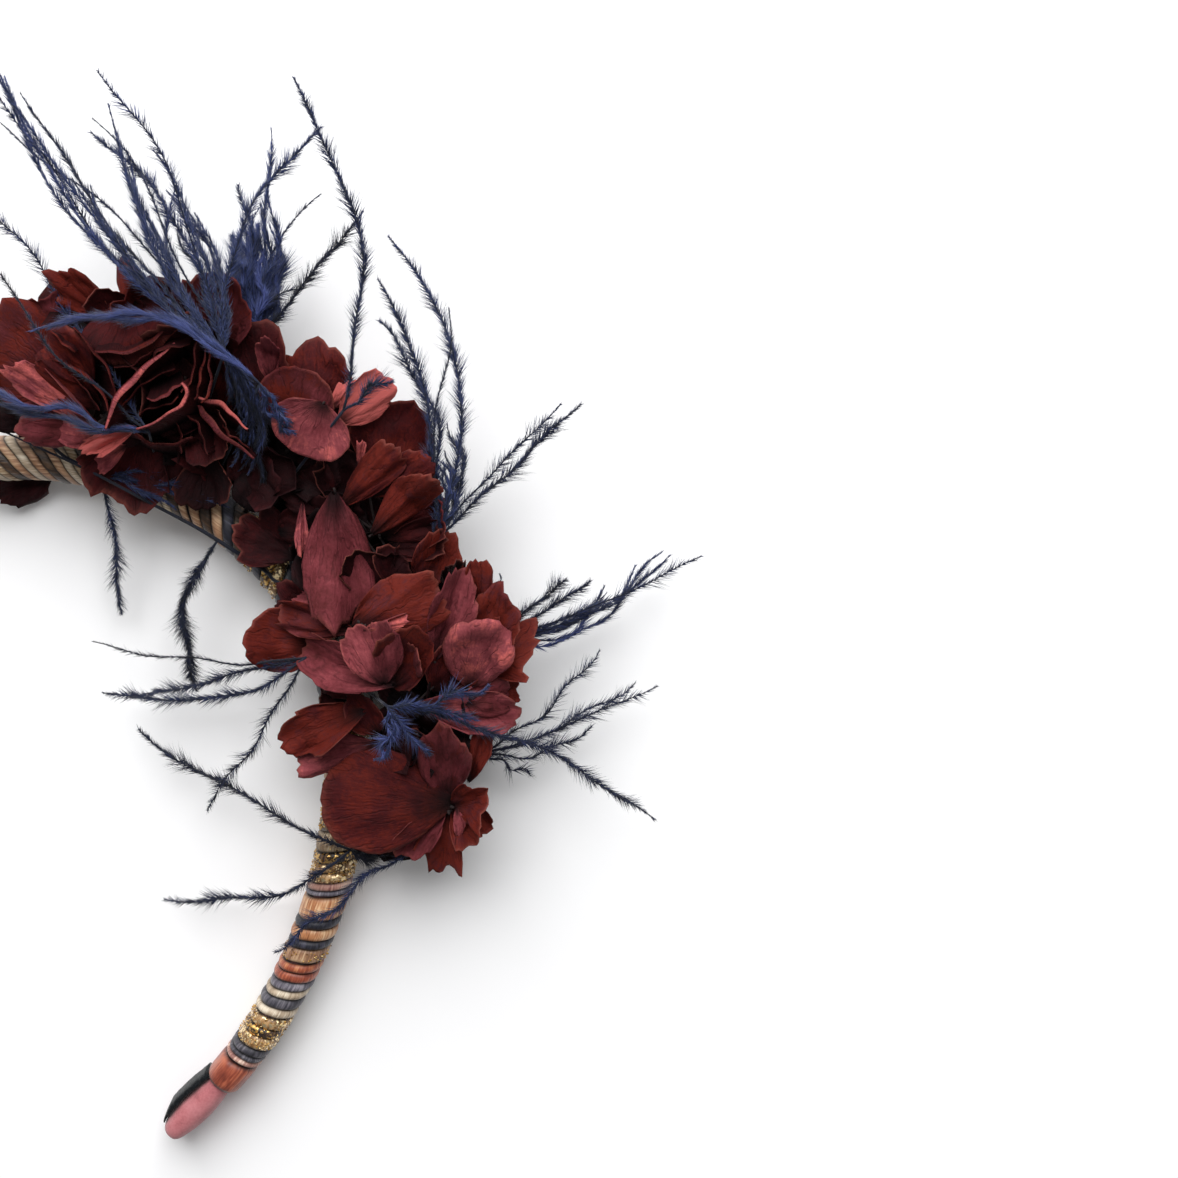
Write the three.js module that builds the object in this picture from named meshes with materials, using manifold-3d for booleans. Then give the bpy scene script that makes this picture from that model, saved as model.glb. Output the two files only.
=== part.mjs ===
import * as THREE from "three";
import { mergeVertices } from "three/addons/utils/BufferGeometryUtils.js";
import Module from "manifold-3d";

// A floral headband lying face up. Millimetres, +Z up, the crown's underside at the origin, tips toward -Y.

const wasm = await Module();
wasm.setup();

const gap = 0.3;
const edgeMid = 6.5;
const wallPetal = 1.0;
const knotRadius = 1.9;
const petalSeat = 0.6;
const stalkRadius = 0.9;
const quillRoot = 0.95;
const quillTip = 0.45;
const tuftKnot = 1.25;
const footUp = 2.5;
const frondStep = 13;
const rodGrow = 1.45;
const nearFlat = 1e-4;
const rodCorners = [[1, 0], [0, 1], [-1, 0], [0, -1]];
const steep = 0.9;
const ball = { around: 6, down: 4 };
const frondBends = { least: 2, most: 5 };
const bandColor = 0xb0686c;
const liningColor = 0x1c2021;
const goldMetal = 0.6;
const clothRough = 0.55;
const petalRough = 0.85;
const weld = 1e-5;
const keepClear = gap + 0.05;

// The band's middle line from the crown to a tip: arcs that turn inward, then a straight end.
const arch = [
  { radius: 71, turn: 36 },
  { radius: 60, turn: 54 },
  { radius: 116, turn: 45 },
];
const straightEnd = 10;

// The covered strip under the windings, by distance back from a tip.
const coreRows = [
  { back: 0.0, deep: 1.0, high: 2.0 },
  { back: 0.7, deep: 2.0, high: 3.5 },
  { back: 2.4, deep: 2.8, high: 4.3 },
  { back: 6.0, deep: 3.3, high: 4.7 },
  { back: 10.0, deep: 3.4, high: 4.9 },
  { back: 14.0, deep: 3.1, high: 4.9 },
  { back: 17.0, deep: 2.7, high: 4.9 },
];
const coreStep = 6.5;

const bareTip = 17.4;
const lining = {
  thick: 1.6,
  start: 2.4,
  end: bareTip - gap,
  high: 3.7,
  highTip: 2.4,
  riseOver: 0.5,
  chamfer: 0.8,
  steps: 5,
};

// A quarter of a rounded section, as shares of its half depth and half height.
const quarter = [
  { deep: 1.0, high: 0.5 },
  { deep: 0.6, high: 1.0 },
];

const winding = {
  crestEnd: 4.2,
  crestLeg: 4.85,
  swellOver: 40,
  valley: 0.5,
  boreDeep: 3.1,
  boreHigh: 5.3,
  boreSpan: 9,
  longFrom: 5.5,
  longCrests: [0.25, 0.75],
  shortCrests: [0.5],
};

// The leg's windings from the bare tip upward, each with the lengths of its turns.
const legSleeves = [
  { name: "copper_wrap", color: 0xa0503c, turns: [3.7, 3.5] },
  { name: "gold_wrap", color: 0xbe8c46, turns: [2.6, 2.0, 5.0, 3.2] },
  { name: "grey_wrap", color: 0x787378, turns: [2.2, 2.6, 2.0, 2.2, 2.4, 2.2] },
  { name: "navy_wrap", color: 0x2d2d3c, turns: [3.4, 2.0, 2.8, 2.0, 5.6] },
  { name: "lace_wrap", color: 0xc8b496, turns: [3.0, 4.6, 2.6, 4.8, 2.8] },
];
const shoulder = { name: "shoulder_wrap", color: 0xb49070, turns: 10 };
const crown = { name: "crown_wrap", color: 0xa08060, half: 36, turns: 9 };

const petalColor = { maroon: 0x5f2326, rust: 0x73231a, rose: 0x9a4a4c };

// A petal leaves its floret's knot on a heading in plan, rises by an angle, curls along its length,
// is cupped across and rolled about its own line.
const petalColumns = ["heading", "long", "wide", "rise", "curl", "cup", "roll"];
const florets = [
  {
    name: "lower_floret", x: 89.5, y: -72, z: 21, color: petalColor.maroon,
    petals: [
      [178, 26, 21, 8, -16, 0.12, 0],
      [259, 17, 13, 4, -20, 0.15, 0],
      [352, 11, 11, 40, -30, 0.2, 0],
      [98, 15, 10.5, 12, -10, 0.2, 10],
    ],
  },
  {
    name: "rust_floret", x: 73.5, y: -32.5, z: 29, color: petalColor.rust,
    petals: [
      [31, 18, 12.5, 10, -20, 0.15, -15],
      [120, 9, 8, 12, -30, 0.3, 0],
      [205, 8, 8, 14, -24, 0.3, 0],
      [300, 11, 10, -2, -20, 0.2, 0],
    ],
  },
  {
    name: "pair_floret", x: 62, y: 10.5, z: 25, color: petalColor.rose,
    petals: [
      [86, 12, 15, 24, -14, 0.25, 0],
      [251, 9.5, 15.5, -14, 22, 0.12, 0],
      [93, 16, 11.5, 2, -8, 0.2, 0],
      [113, 19.5, 6.5, 12, -10, 0.4, 10],
      [19, 19, 8.5, 16, -18, 0.3, 0],
      [200, 15, 11, 0, -10, 0.2, 0],
      [318, 13, 11, -4, -8, 0.2, 0],
    ],
  },
  {
    name: "heart_floret", x: 75.5, y: -42.5, z: 25, color: petalColor.maroon,
    petals: [
      [103, 12, 9, 40, -30, 0.35, 0],
      [40, 18, 9.5, 14, -16, 0.4, 20],
      [163, 17, 9.5, 10, -16, 0.35, -25],
      [200, 11, 9, 8, -22, 0.2, 0],
      [275, 13, 11, 2, -18, 0.2, 0],
      [330, 12, 11, 2, -14, 0.2, 0],
    ],
  },
  {
    name: "crown_bloom", x: 37, y: 17, z: 24, color: petalColor.maroon,
    petals: [
      [160, 12, 17, 55, -10, 0.5, 0],
      [215, 9, 10, 58, -10, 0.5, 0],
      [316, 14.5, 9, 14, -10, 0.35, 25],
      [335, 13, 8, 30, -12, 0.35, 0],
      [120, 8, 9, 68, 10, 0.6, 0],
      [40, 8, 9, 66, 10, 0.6, 0],
      [275, 8, 8, 60, 0, 0.5, 0],
      [76, 17, 10.5, 18, -18, 0.3, 0],
      [350, 13, 11, 2, -12, 0.25, 0],
    ],
  },
  {
    name: "crown_left_floret", x: 21, y: 10.5, z: 24, color: petalColor.rose,
    petals: [
      [71, 17.5, 17, 30, -18, 0.4, 0],
      [107, 16.5, 11, 38, -22, 0.4, 0],
      [141, 17.5, 9, 28, -20, 0.35, 10],
      [155, 22.5, 8, 12, -12, 0.3, 0],
      [190, 18.5, 7, 8, -14, 0.3, 25],
      [230, 12, 7.5, 10, -20, 0.3, 0],
      [250, 14, 6, 2, -16, 0.2, 0],
    ],
  },
  {
    name: "fan_floret", x: 75.5, y: -14, z: 20, color: petalColor.maroon,
    petals: [
      [97, 15.5, 11.5, 22, -12, 0.35, -10],
      [64, 18, 9, 26, -18, 0.45, 0],
      [42, 16.5, 8.5, 30, -24, 0.45, 10],
      [18, 17.5, 12, 12, -14, 0.25, 0],
      [352, 16, 9, 8, -16, 0.3, 0],
      [165, 14, 12, -2, -10, 0.2, 0],
      [215, 12, 11, -4, -8, 0.2, 0],
      [290, 12, 11, -2, -10, 0.2, 0],
    ],
  },
  {
    name: "mid_floret", x: 91, y: -42.5, z: 20, color: petalColor.rose,
    petals: [
      [327, 15.5, 10, 4, -14, 0.2, 0],
      [40, 13, 12, 32, -20, 0.25, 0],
      [22, 17, 12.5, 6, -8, 0.3, 0],
      [64, 15.5, 10.5, 6, -6, 0.3, 0],
      [96, 18, 8, 28, -15, 0.3, 30],
      [82, 21, 6, 4, 0, 0.4, 0],
      [180, 14, 12, -4, -8, 0.2, 0],
      [265, 14, 12, -2, -10, 0.2, 0],
    ],
  },
  {
    name: "side_floret", x: 74, y: -56, z: 18, color: petalColor.maroon,
    petals: [
      [186, 18, 10, 14, -14, 0.35, 30],
      [208, 16, 9, 2, -14, 0.2, -10],
      [140, 11, 8, 18, -10, 0.3, 0],
      [330, 10, 8, 14, -10, 0.3, 0],
      [20, 14, 12, -2, -8, 0.2, 0],
      [275, 13, 11, -4, -8, 0.2, 0],
    ],
  },
  {
    name: "hanging_floret", x: 68, y: -7.5, z: 22, color: petalColor.rose,
    petals: [
      [267, 22, 13, 2, -12, 0.3, 10],
      [236, 13, 7, 22, -20, 0.4, 45],
      [192, 20.5, 11, -2, -20, 0.2, 0],
      [170, 8.5, 8, 18, -20, 0.3, 0],
    ],
  },
  {
    name: "inner_floret", x: 63.5, y: -37.5, z: 17, color: petalColor.rust,
    petals: [
      [176, 15.5, 12.5, 4, -14, 0.15, 0],
      [146, 11.5, 7.5, 26, -20, 0.4, 20],
      [262, 8, 8, 6, -10, 0.2, 0],
    ],
  },
  {
    name: "back_floret", x: 77.5, y: 0, z: 15, color: petalColor.maroon,
    petals: [
      [75, 13.5, 18, 14, -12, 0.2, 0],
      [150, 12, 9, 4, -6, 0.3, 0],
      [20, 11, 9, 2, -6, 0.3, 0],
      [230, 14, 12, 0, -8, 0.2, 0],
      [300, 13, 11, 0, -8, 0.2, 0],
    ],
  },
  {
    name: "crown_back_floret", x: 17.5, y: 26.5, z: 15, color: petalColor.rust,
    petals: [
      [180, 18.5, 20.5, 12, -16, 0.2, 0],
      [115, 15.5, 6, 18, -10, 0.4, 15],
      [70, 11, 9, 8, -10, 0.2, 0],
      [250, 14, 12, 0, -8, 0.2, 0],
      [320, 13, 11, 0, -8, 0.2, 0],
    ],
  },
  {
    name: "crown_top_floret", x: 32, y: 26.5, z: 14, color: petalColor.maroon,
    petals: [
      [116, 15, 12, 12, -12, 0.3, 0],
      [62, 14, 10, 4, -8, 0.25, 0],
      [20, 12, 9, 4, -8, 0.25, 0],
    ],
  },
  {
    name: "crown_low_floret", x: 28, y: 5, z: 17, color: petalColor.rust,
    petals: [
      [241, 13.5, 16.5, 4, -16, 0.2, 0],
      [330, 11, 9, 4, -12, 0.2, 0],
      [20, 9, 8, 4, -8, 0.2, 0],
      [180, 14, 11, 2, -10, 0.2, 0],
      [100, 12, 10, 2, -8, 0.2, 0],
    ],
  },
];

// A frond leaves its tuft's root on a heading in plan, reaches to its end, bows to its left
// and climbs by its lift.
const frondColumns = ["heading", "reach", "bow", "lift", "hump"];
const featherColor = { navy: 0x2d375f, violet: 0x464b7d, dusk: 0x3c3a44 };
const tufts = [
  {
    name: "crown_spray", x: 46, y: 28, z: 27, color: featherColor.navy,
    fronds: [
      [128, 82, 0, 6, 2],
      [132, 76, 1, 0, 2],
      [138, 68, -4, -5, 2],
      [111, 58, 1, 9, 2],
      [116, 51, 1, 2, 2],
      [122, 56, -4, -7, 2],
      [104, 43, -3, -3, 2],
      [75, 44, 5.5, 4, 2],
    ],
  },
  {
    name: "middle_spray", x: 51, y: 25.5, z: 18, color: featherColor.navy,
    fronds: [
      [85, 43, -1, 4, 1],
      [65, 33, 4.5, 0, 1],
      [96, 32, -1, -3, 1],
      [107, 21, 1, 3, 1],
      [49, 35, 0, 8, 1],
    ],
  },
  {
    name: "arched_frond", x: 70, y: 12.5, z: 33, color: featherColor.navy,
    fronds: [
      [97, 65, -7.5, 2, 3],
      [35, 12, 0, 4, 0],
    ],
  },
  {
    name: "right_spray", x: 87, y: -15, z: 26, color: featherColor.navy,
    fronds: [
      [101, 54, -5, 2, 3],
      [98, 62, -10, -6, 3],
      [85, 48, 0, 7, 2],
      [43, 41, 0, -4, 2],
      [82, 24, -3, -3, 0],
    ],
  },
  {
    name: "side_spray", x: 102, y: -37.5, z: 14, color: featherColor.navy,
    fronds: [
      [23.5, 44, 0, 2, 2],
      [27, 38, -3, -3, 2],
      [48, 18, 1, 5, 0],
      [36, 21, 0, -2, 0],
      [100, 14, 0, 1, 0],
    ],
  },
  {
    name: "lower_spray", x: 96, y: -62, z: 15, color: featherColor.navy,
    fronds: [
      [22, 40, -1, 2, 2],
      [41, 33, -2, -3, 2],
      [330, 12, 0, -4, 0],
    ],
  },
  {
    name: "petal_tuft", x: 78.5, y: -46.5, z: 39, color: featherColor.violet,
    fronds: [
      [14, 21, -1, 3, 1],
      [333, 60, 5.5, -12, 3],
      [251, 12, 2, -3, 1],
      [309, 13, 0, 0, 1],
    ],
  },
  {
    name: "inward_spray", x: 60, y: -40, z: 22, color: featherColor.navy,
    fronds: [
      [178, 46, 2, -8, 1],
      [191, 44, 5, -4, 2],
      [196, 40, 0, -12, 1],
      [236, 42, 1, -9, 2],
    ],
  },
  {
    name: "leg_spray", x: 68, y: -83, z: 16.5, color: featherColor.navy,
    fronds: [
      [151, 52, 2, -8, 1],
      [198, 44, 5, -9, 2],
      [10, 7, 0, 1, 0],
    ],
  },
  {
    name: "crossing_frond", x: 81.5, y: -82, z: 17, color: featherColor.violet,
    fronds: [
      [216, 38, 0, 0, 4],
      [60, 6, 0, 1, 0],
    ],
  },
  {
    name: "hanging_fronds", x: 17.5, y: -3, z: 14.6, color: featherColor.navy,
    fronds: [
      [272, 31, 1, -9, 2],
      [148, 25, 0, 2, 1],
    ],
  },
  {
    name: "long_quill", x: 50.5, y: -22.5, z: 14.4, color: featherColor.dusk,
    fronds: [
      [153, 34, -2.6, 1, 0],
      [248, 36, -3.5, -8, 2],
    ],
  },
  {
    name: "bloom_plume", x: 54, y: 18, z: 36, color: featherColor.violet,
    fronds: [
      [166, 45, -7.5, 3, 3],
      [300, 12, 0, -2, 0],
    ],
  },
  {
    name: "crown_plume", x: 31, y: 8, z: 32, color: featherColor.violet,
    fronds: [
      [166, 38, 0, -2, 1],
      [130, 48, 2, 6, 2],
      [150, 44, -2, 8, 2],
    ],
  },
];

// Along the arch.

function archAt(along) {
  const side = Math.sign(along) || 1;
  let left = Math.abs(along);
  let heading = 0;
  const spot = new THREE.Vector2(0, 0);
  for (const { radius, turn } of arch) {
    const whole = THREE.MathUtils.degToRad(turn);
    const part = Math.min(whole, left / radius);
    const next = heading - part;
    spot.x += radius * (Math.sin(heading) - Math.sin(next));
    spot.y += radius * (Math.cos(next) - Math.cos(heading));
    heading = next;
    left -= radius * part;
    if (part < whole) {
      left = 0;
      break;
    }
  }
  spot.x += left * Math.cos(heading);
  spot.y += left * Math.sin(heading);
  const out = new THREE.Vector2(-Math.sin(heading), Math.cos(heading));
  return { x: side * spot.x, y: spot.y, outX: side * out.x, outY: out.y };
}

const halfLength = arch.reduce((sum, a) => sum + a.radius * THREE.MathUtils.degToRad(a.turn), straightEnd);

function sectionShares() {
  const one = quarter.map((q) => [q.deep, q.high]);
  const two = [...one].reverse().map(([d, h]) => [-d, h]);
  const three = one.map(([d, h]) => [-d, -h]);
  const four = [...one].reverse().map(([d, h]) => [d, -h]);
  return [...one, ...two, ...three, ...four];
}

function ringAt(along, deep, high, shift = 0) {
  const at = archAt(along);
  return sectionShares().map(([d, h]) => {
    const offset = shift + d * deep;
    return new THREE.Vector3(at.x + at.outX * offset, at.y + at.outY * offset, edgeMid + h * high);
  });
}

// Closed solids from rings of points.

function solidOf(points, faces) {
  const geometry = new THREE.BufferGeometry();
  const flat = points.flatMap((p) => [p.x, p.y, p.z]);
  geometry.setAttribute("position", new THREE.Float32BufferAttribute(flat, 3));
  geometry.setIndex(faces.flat());
  return asManifold(geometry);
}

function asManifold(geometry) {
  const bare = geometry.clone();
  bare.deleteAttribute("normal");
  bare.deleteAttribute("uv");
  const joined = mergeVertices(bare, weld);
  const vertProperties = new Float32Array(joined.attributes.position.array);
  const volume = signedVolume(vertProperties, joined.index.array);
  const triVerts = new Uint32Array(joined.index.array);
  if (volume < 0) {
    for (let i = 0; i < triVerts.length; i += 3) {
      [triVerts[i], triVerts[i + 1]] = [triVerts[i + 1], triVerts[i]];
    }
  }
  return new wasm.Manifold(new wasm.Mesh({ numProp: 3, vertProperties, triVerts }));
}

function signedVolume(v, t) {
  const a = new THREE.Vector3();
  const b = new THREE.Vector3();
  const c = new THREE.Vector3();
  let sum = 0;
  for (let i = 0; i < t.length; i += 3) {
    a.fromArray(v, t[i] * 3);
    b.fromArray(v, t[i + 1] * 3);
    c.fromArray(v, t[i + 2] * 3);
    sum += a.dot(b.cross(c));
  }
  return sum / 6;
}

function bridge(faces, from, to, count) {
  for (let i = 0; i < count; i += 1) {
    const j = (i + 1) % count;
    faces.push([from + i, to + i, to + j], [from + i, to + j, from + j]);
  }
}

function loft(rings) {
  const count = rings[0].length;
  const points = rings.flat();
  const faces = [];
  for (let r = 0; r + 1 < rings.length; r += 1) bridge(faces, r * count, (r + 1) * count, count);
  const last = (rings.length - 1) * count;
  for (let i = 1; i + 1 < count; i += 1) {
    faces.push([0, i, i + 1], [last, last + i + 1, last + i]);
  }
  return solidOf(points, faces);
}

function sleeve(outer, inner) {
  const count = outer[0].length;
  const rings = [...outer, ...[...inner].reverse()];
  const points = rings.flat();
  const faces = [];
  for (let r = 0; r < rings.length; r += 1) {
    bridge(faces, r * count, ((r + 1) % rings.length) * count, count);
  }
  return solidOf(points, faces);
}

function largest(solid) {
  const bodies = solid.decompose();
  return bodies.reduce((best, b) => (b.volume() > best.volume() ? b : best));
}

// The covered band and its tip linings.

function coreSize(back) {
  const row = coreRows.findIndex((r) => r.back > back);
  if (row < 0) return coreRows[coreRows.length - 1];
  const a = coreRows[row - 1];
  const b = coreRows[row];
  const share = (back - a.back) / (b.back - a.back);
  return { deep: a.deep + share * (b.deep - a.deep), high: a.high + share * (b.high - a.high) };
}

function band() {
  const ends = coreRows.map((r) => halfLength - r.back);
  const inside = ends[ends.length - 1];
  const steps = Math.round((2 * inside) / coreStep);
  const middle = Array.from({ length: steps - 1 }, (_, i) => inside - ((i + 1) * 2 * inside) / steps);
  const stations = [...ends, ...middle, ...[...ends].reverse().map((s) => -s)];
  return loft(stations.map((s) => {
    const size = coreSize(halfLength - Math.abs(s));
    return ringAt(s, size.deep, size.high);
  }));
}

function tipLining(side) {
  const rings = [];
  for (let i = 0; i <= lining.steps; i += 1) {
    const share = i / lining.steps;
    const back = lining.start + share * (lining.end - lining.start);
    const inner = coreSize(back).deep + gap;
    const high = lining.highTip + Math.min(1, share / lining.riseOver) * (lining.high - lining.highTip);
    const at = archAt(side * (halfLength - back));
    const corner = (offset, h) =>
      new THREE.Vector3(at.x - at.outX * offset, at.y - at.outY * offset, edgeMid + h * high);
    const far = inner + lining.thick;
    const outside = [corner(far, -lining.chamfer), corner(far, lining.chamfer)];
    rings.push([corner(inner, -1), ...outside, corner(inner, 1)]);
  }
  return loft(rings);
}

// Windings: a sleeve whose outside swells with each turn, its lowest crest flat on the floor.

function crestDeep(back) {
  const share = Math.min(1, Math.max(0, back - bareTip) / winding.swellOver);
  return winding.crestEnd + share * (winding.crestLeg - winding.crestEnd);
}

function windingSleeve(start, turns, side, grow) {
  const outer = [];
  const inner = [];
  let along = start;
  const ring = (s, sink) => {
    outer.push(ringAt(s, crestDeep(halfLength - Math.abs(s)) - sink + grow, edgeMid - sink + grow));
  };
  const bore = (s) => inner.push(ringAt(s, winding.boreDeep, winding.boreHigh));
  ring(along, winding.valley);
  bore(along);
  for (const turn of turns) {
    const crests = turn > winding.longFrom ? winding.longCrests : winding.shortCrests;
    for (const share of crests) ring(along + side * turn * share, 0);
    along += side * turn;
    ring(along, winding.valley);
  }
  const spans = Math.ceil(Math.abs(along - start) / winding.boreSpan);
  for (let i = 1; i <= spans; i += 1) bore(start + ((along - start) * i) / spans);
  return sleeve(outer, inner);
}

function windings(grow) {
  const made = [];
  for (const [side, word] of [[1, "right"], [-1, "left"]]) {
    let back = bareTip;
    for (const { name, color, turns } of legSleeves) {
      const total = turns.reduce((a, b) => a + b, 0);
      const solid = windingSleeve(side * (halfLength - back), turns, -side, grow);
      made.push({ name: `${name}_${word}`, color, solid });
      back += total + gap;
    }
    const from = crown.half + gap;
    const turn = (halfLength - back - from) / shoulder.turns;
    const solid = windingSleeve(side * from, Array(shoulder.turns).fill(turn), side, grow);
    made.push({ name: `${shoulder.name}_${word}`, color: shoulder.color, solid });
  }
  const turn = (2 * crown.half) / crown.turns;
  const solid = windingSleeve(-crown.half, Array(crown.turns).fill(turn), 1, grow);
  made.push({ name: crown.name, color: crown.color, solid });
  return made;
}

// Stalks and quills.

function footOn({ x, y }) {
  let best = { far: Infinity };
  for (let s = -halfLength; s <= halfLength; s += 1) {
    const at = archAt(s);
    const far = Math.hypot(at.x - x, at.y - y);
    if (far < best.far) best = { far, at };
  }
  const { at } = best;
  const offset = (x - at.x) * at.outX + (y - at.y) * at.outY;
  const beside = winding.crestLeg - winding.valley;
  if (Math.abs(offset) < beside + stalkRadius) return new THREE.Vector3(x, y, 2 * edgeMid - winding.valley);
  const aside = Math.sign(offset) * beside;
  return new THREE.Vector3(at.x + at.outX * aside, at.y + at.outY * aside, edgeMid + footUp);
}

function rod(points, radii) {
  const rings = points.map((p, i) => {
    const ahead = points[Math.min(i + 1, points.length - 1)];
    const behind = points[Math.max(i - 1, 0)];
    const along = new THREE.Vector3().subVectors(ahead, behind).normalize();
    const near = Math.abs(along.z) > steep ? new THREE.Vector3(1, 0, 0) : new THREE.Vector3(0, 0, 1);
    const across = new THREE.Vector3().crossVectors(along, near).normalize();
    const up = new THREE.Vector3().crossVectors(across, along);
    return rodCorners.map(([a, b]) =>
      p.clone().addScaledVector(across, a * radii[i]).addScaledVector(up, b * radii[i]));
  });
  return loft(rings);
}

function knot(place, radius) {
  const round = new THREE.SphereGeometry(radius, ball.around, ball.down);
  return asManifold(round.translate(place.x, place.y, place.z));
}

function stalk(place, grow) {
  const top = new THREE.Vector3(place.x, place.y, place.z);
  const foot = footOn(place);
  const radius = stalkRadius + grow * rodGrow;
  const reach = top.distanceTo(foot);
  foot.lerp(top, -grow / reach);
  return rod([foot, top], [radius, radius]);
}

// Petals.

function petalShape(v) {
  const widest = 0.58;
  const base = 0.2;
  const blunt = 0.3;
  if (v <= widest) return base + (1 - base) * Math.sin((Math.PI / 2) * (v / widest));
  return Math.max(blunt, Math.sqrt(1 - ((v - widest) / (1 - widest)) ** 2.2));
}

function petal(place, row, grow) {
  const rad = THREE.MathUtils.degToRad;
  const heading = new THREE.Vector3(Math.cos(rad(row.heading)), Math.sin(rad(row.heading)), 0);
  const up = new THREE.Vector3(0, 0, 1);
  const left = new THREE.Vector3().crossVectors(up, heading);
  const across = 2;
  const lengthwise = 3;
  const bend = rad(row.curl || nearFlat);
  const start = rad(row.rise);
  const long = row.long + 2 * grow;
  const base = knotRadius * petalSeat - grow;
  const half = row.wide / 2 + grow;
  const thick = wallPetal / 2 + grow;
  const sheets = [[], []];
  for (let j = 0; j <= lengthwise; j += 1) {
    const v = j / lengthwise;
    const tilt = start + bend * v;
    const forward = (long / bend) * (Math.sin(tilt) - Math.sin(start));
    const rise = (long / bend) * (Math.cos(start) - Math.cos(tilt));
    const normal = heading.clone().multiplyScalar(-Math.sin(tilt)).addScaledVector(up, Math.cos(tilt));
    const side = left.clone().multiplyScalar(Math.cos(rad(row.roll)));
    side.addScaledVector(normal, Math.sin(rad(row.roll)));
    const face = normal.clone().multiplyScalar(Math.cos(rad(row.roll)));
    face.addScaledVector(left, -Math.sin(rad(row.roll)));
    const width = half * petalShape(v);
    for (let i = 0; i <= across; i += 1) {
      const u = (2 * i) / across - 1;
      const mid = new THREE.Vector3(place.x, place.y, place.z);
      mid.addScaledVector(heading, base + forward).addScaledVector(up, rise);
      mid.addScaledVector(side, u * width).addScaledVector(face, row.cup * width * u * u);
      sheets[0].push(mid.clone().addScaledVector(face, thick));
      sheets[1].push(mid.clone().addScaledVector(face, -thick));
    }
  }
  return sheetSolid(sheets, across + 1, lengthwise + 1);
}

function sheetSolid([top, bottom], columns, rows) {
  const faces = [];
  const below = top.length;
  for (let j = 0; j + 1 < rows; j += 1) {
    for (let i = 0; i + 1 < columns; i += 1) {
      const a = j * columns + i;
      const b = a + 1;
      const c = a + columns;
      const d = c + 1;
      faces.push([a, b, d], [a, d, c]);
      faces.push([below + a, below + d, below + b], [below + a, below + c, below + d]);
    }
  }
  const rim = [];
  for (let i = 0; i < columns; i += 1) rim.push(i);
  for (let j = 1; j < rows; j += 1) rim.push(j * columns + columns - 1);
  for (let i = columns - 2; i >= 0; i -= 1) rim.push((rows - 1) * columns + i);
  for (let j = rows - 2; j > 0; j -= 1) rim.push(j * columns);
  rim.forEach((a, k) => {
    const b = rim[(k + 1) % rim.length];
    faces.push([a, below + b, b], [a, below + a, below + b]);
  });
  return solidOf([...top, ...bottom], faces);
}

function named(columns, row) {
  return Object.fromEntries(columns.map((key, i) => [key, row[i]]));
}

function floretSolid(place, grow) {
  const parts = [knot(place, knotRadius + grow), stalk(place, grow)];
  for (const row of place.petals) parts.push(petal(place, named(petalColumns, row), grow));
  return parts.reduce((a, b) => a.add(b));
}

// Fronds.

function frond(place, row, grow) {
  const rad = THREE.MathUtils.degToRad(row.heading);
  const ahead = new THREE.Vector3(Math.cos(rad), Math.sin(rad), 0);
  const left = new THREE.Vector3(-ahead.y, ahead.x, 0);
  const steps = THREE.MathUtils.clamp(Math.round(row.reach / frondStep), frondBends.least, frondBends.most);
  const points = [];
  const radii = [];
  for (let i = 0; i <= steps; i += 1) {
    const t = i / steps;
    const swell = 4 * t * (1 - t);
    const p = new THREE.Vector3(place.x, place.y, place.z + row.lift * t + row.hump * swell);
    p.addScaledVector(ahead, row.reach * t).addScaledVector(left, row.bow * swell);
    points.push(p);
    radii.push(quillRoot + (quillTip - quillRoot) * t ** 2 + grow * rodGrow);
  }
  const end = points[steps];
  end.lerp(points[steps - 1], -grow / end.distanceTo(points[steps - 1]));
  return rod(points, radii);
}

function tuftSolid(place, grow) {
  const parts = [knot(place, tuftKnot + grow), stalk(place, grow)];
  for (const row of place.fronds) parts.push(frond(place, named(frondColumns, row), grow));
  return parts.reduce((a, b) => a.add(b));
}

// Assembly: each later piece is cut back from the ones already placed.

const group = new THREE.Group();
group.name = "floral_headband";

function place(name, solid, color, roughness = petalRough, metalness = 0) {
  const mesh = solid.getMesh();
  const geometry = new THREE.BufferGeometry();
  geometry.setAttribute("position", new THREE.Float32BufferAttribute(mesh.vertProperties, 3));
  geometry.setIndex(Array.from(mesh.triVerts));
  geometry.computeVertexNormals();
  const part = new THREE.Mesh(geometry, new THREE.MeshStandardMaterial({ color, roughness, metalness }));
  part.name = name;
  group.add(part);
}

place("band", band(), bandColor);
place("tip_lining_right", tipLining(1), liningColor);
place("tip_lining_left", tipLining(-1), liningColor);
for (const { name, color, solid } of windings(0)) {
  place(name, solid, color, clothRough, name.startsWith("gold") ? goldMetal : 0);
}

const wound = windings(keepClear).map((w) => w.solid);
const cutBack = (solid, others) => largest(others.reduce((left, other) => left.subtract(other), solid));
const taken = [...wound];
for (const tuft of tufts) {
  place(tuft.name, cutBack(tuftSolid(tuft, 0), wound), tuft.color);
  taken.push(tuftSolid(tuft, keepClear));
}
for (const floret of florets) {
  place(floret.name, cutBack(floretSolid(floret, 0), taken), floret.color);
  taken.push(floretSolid(floret, keepClear));
}

export default group;
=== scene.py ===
import math
import bpy
import numpy as np
from mathutils import Matrix, Vector


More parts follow.
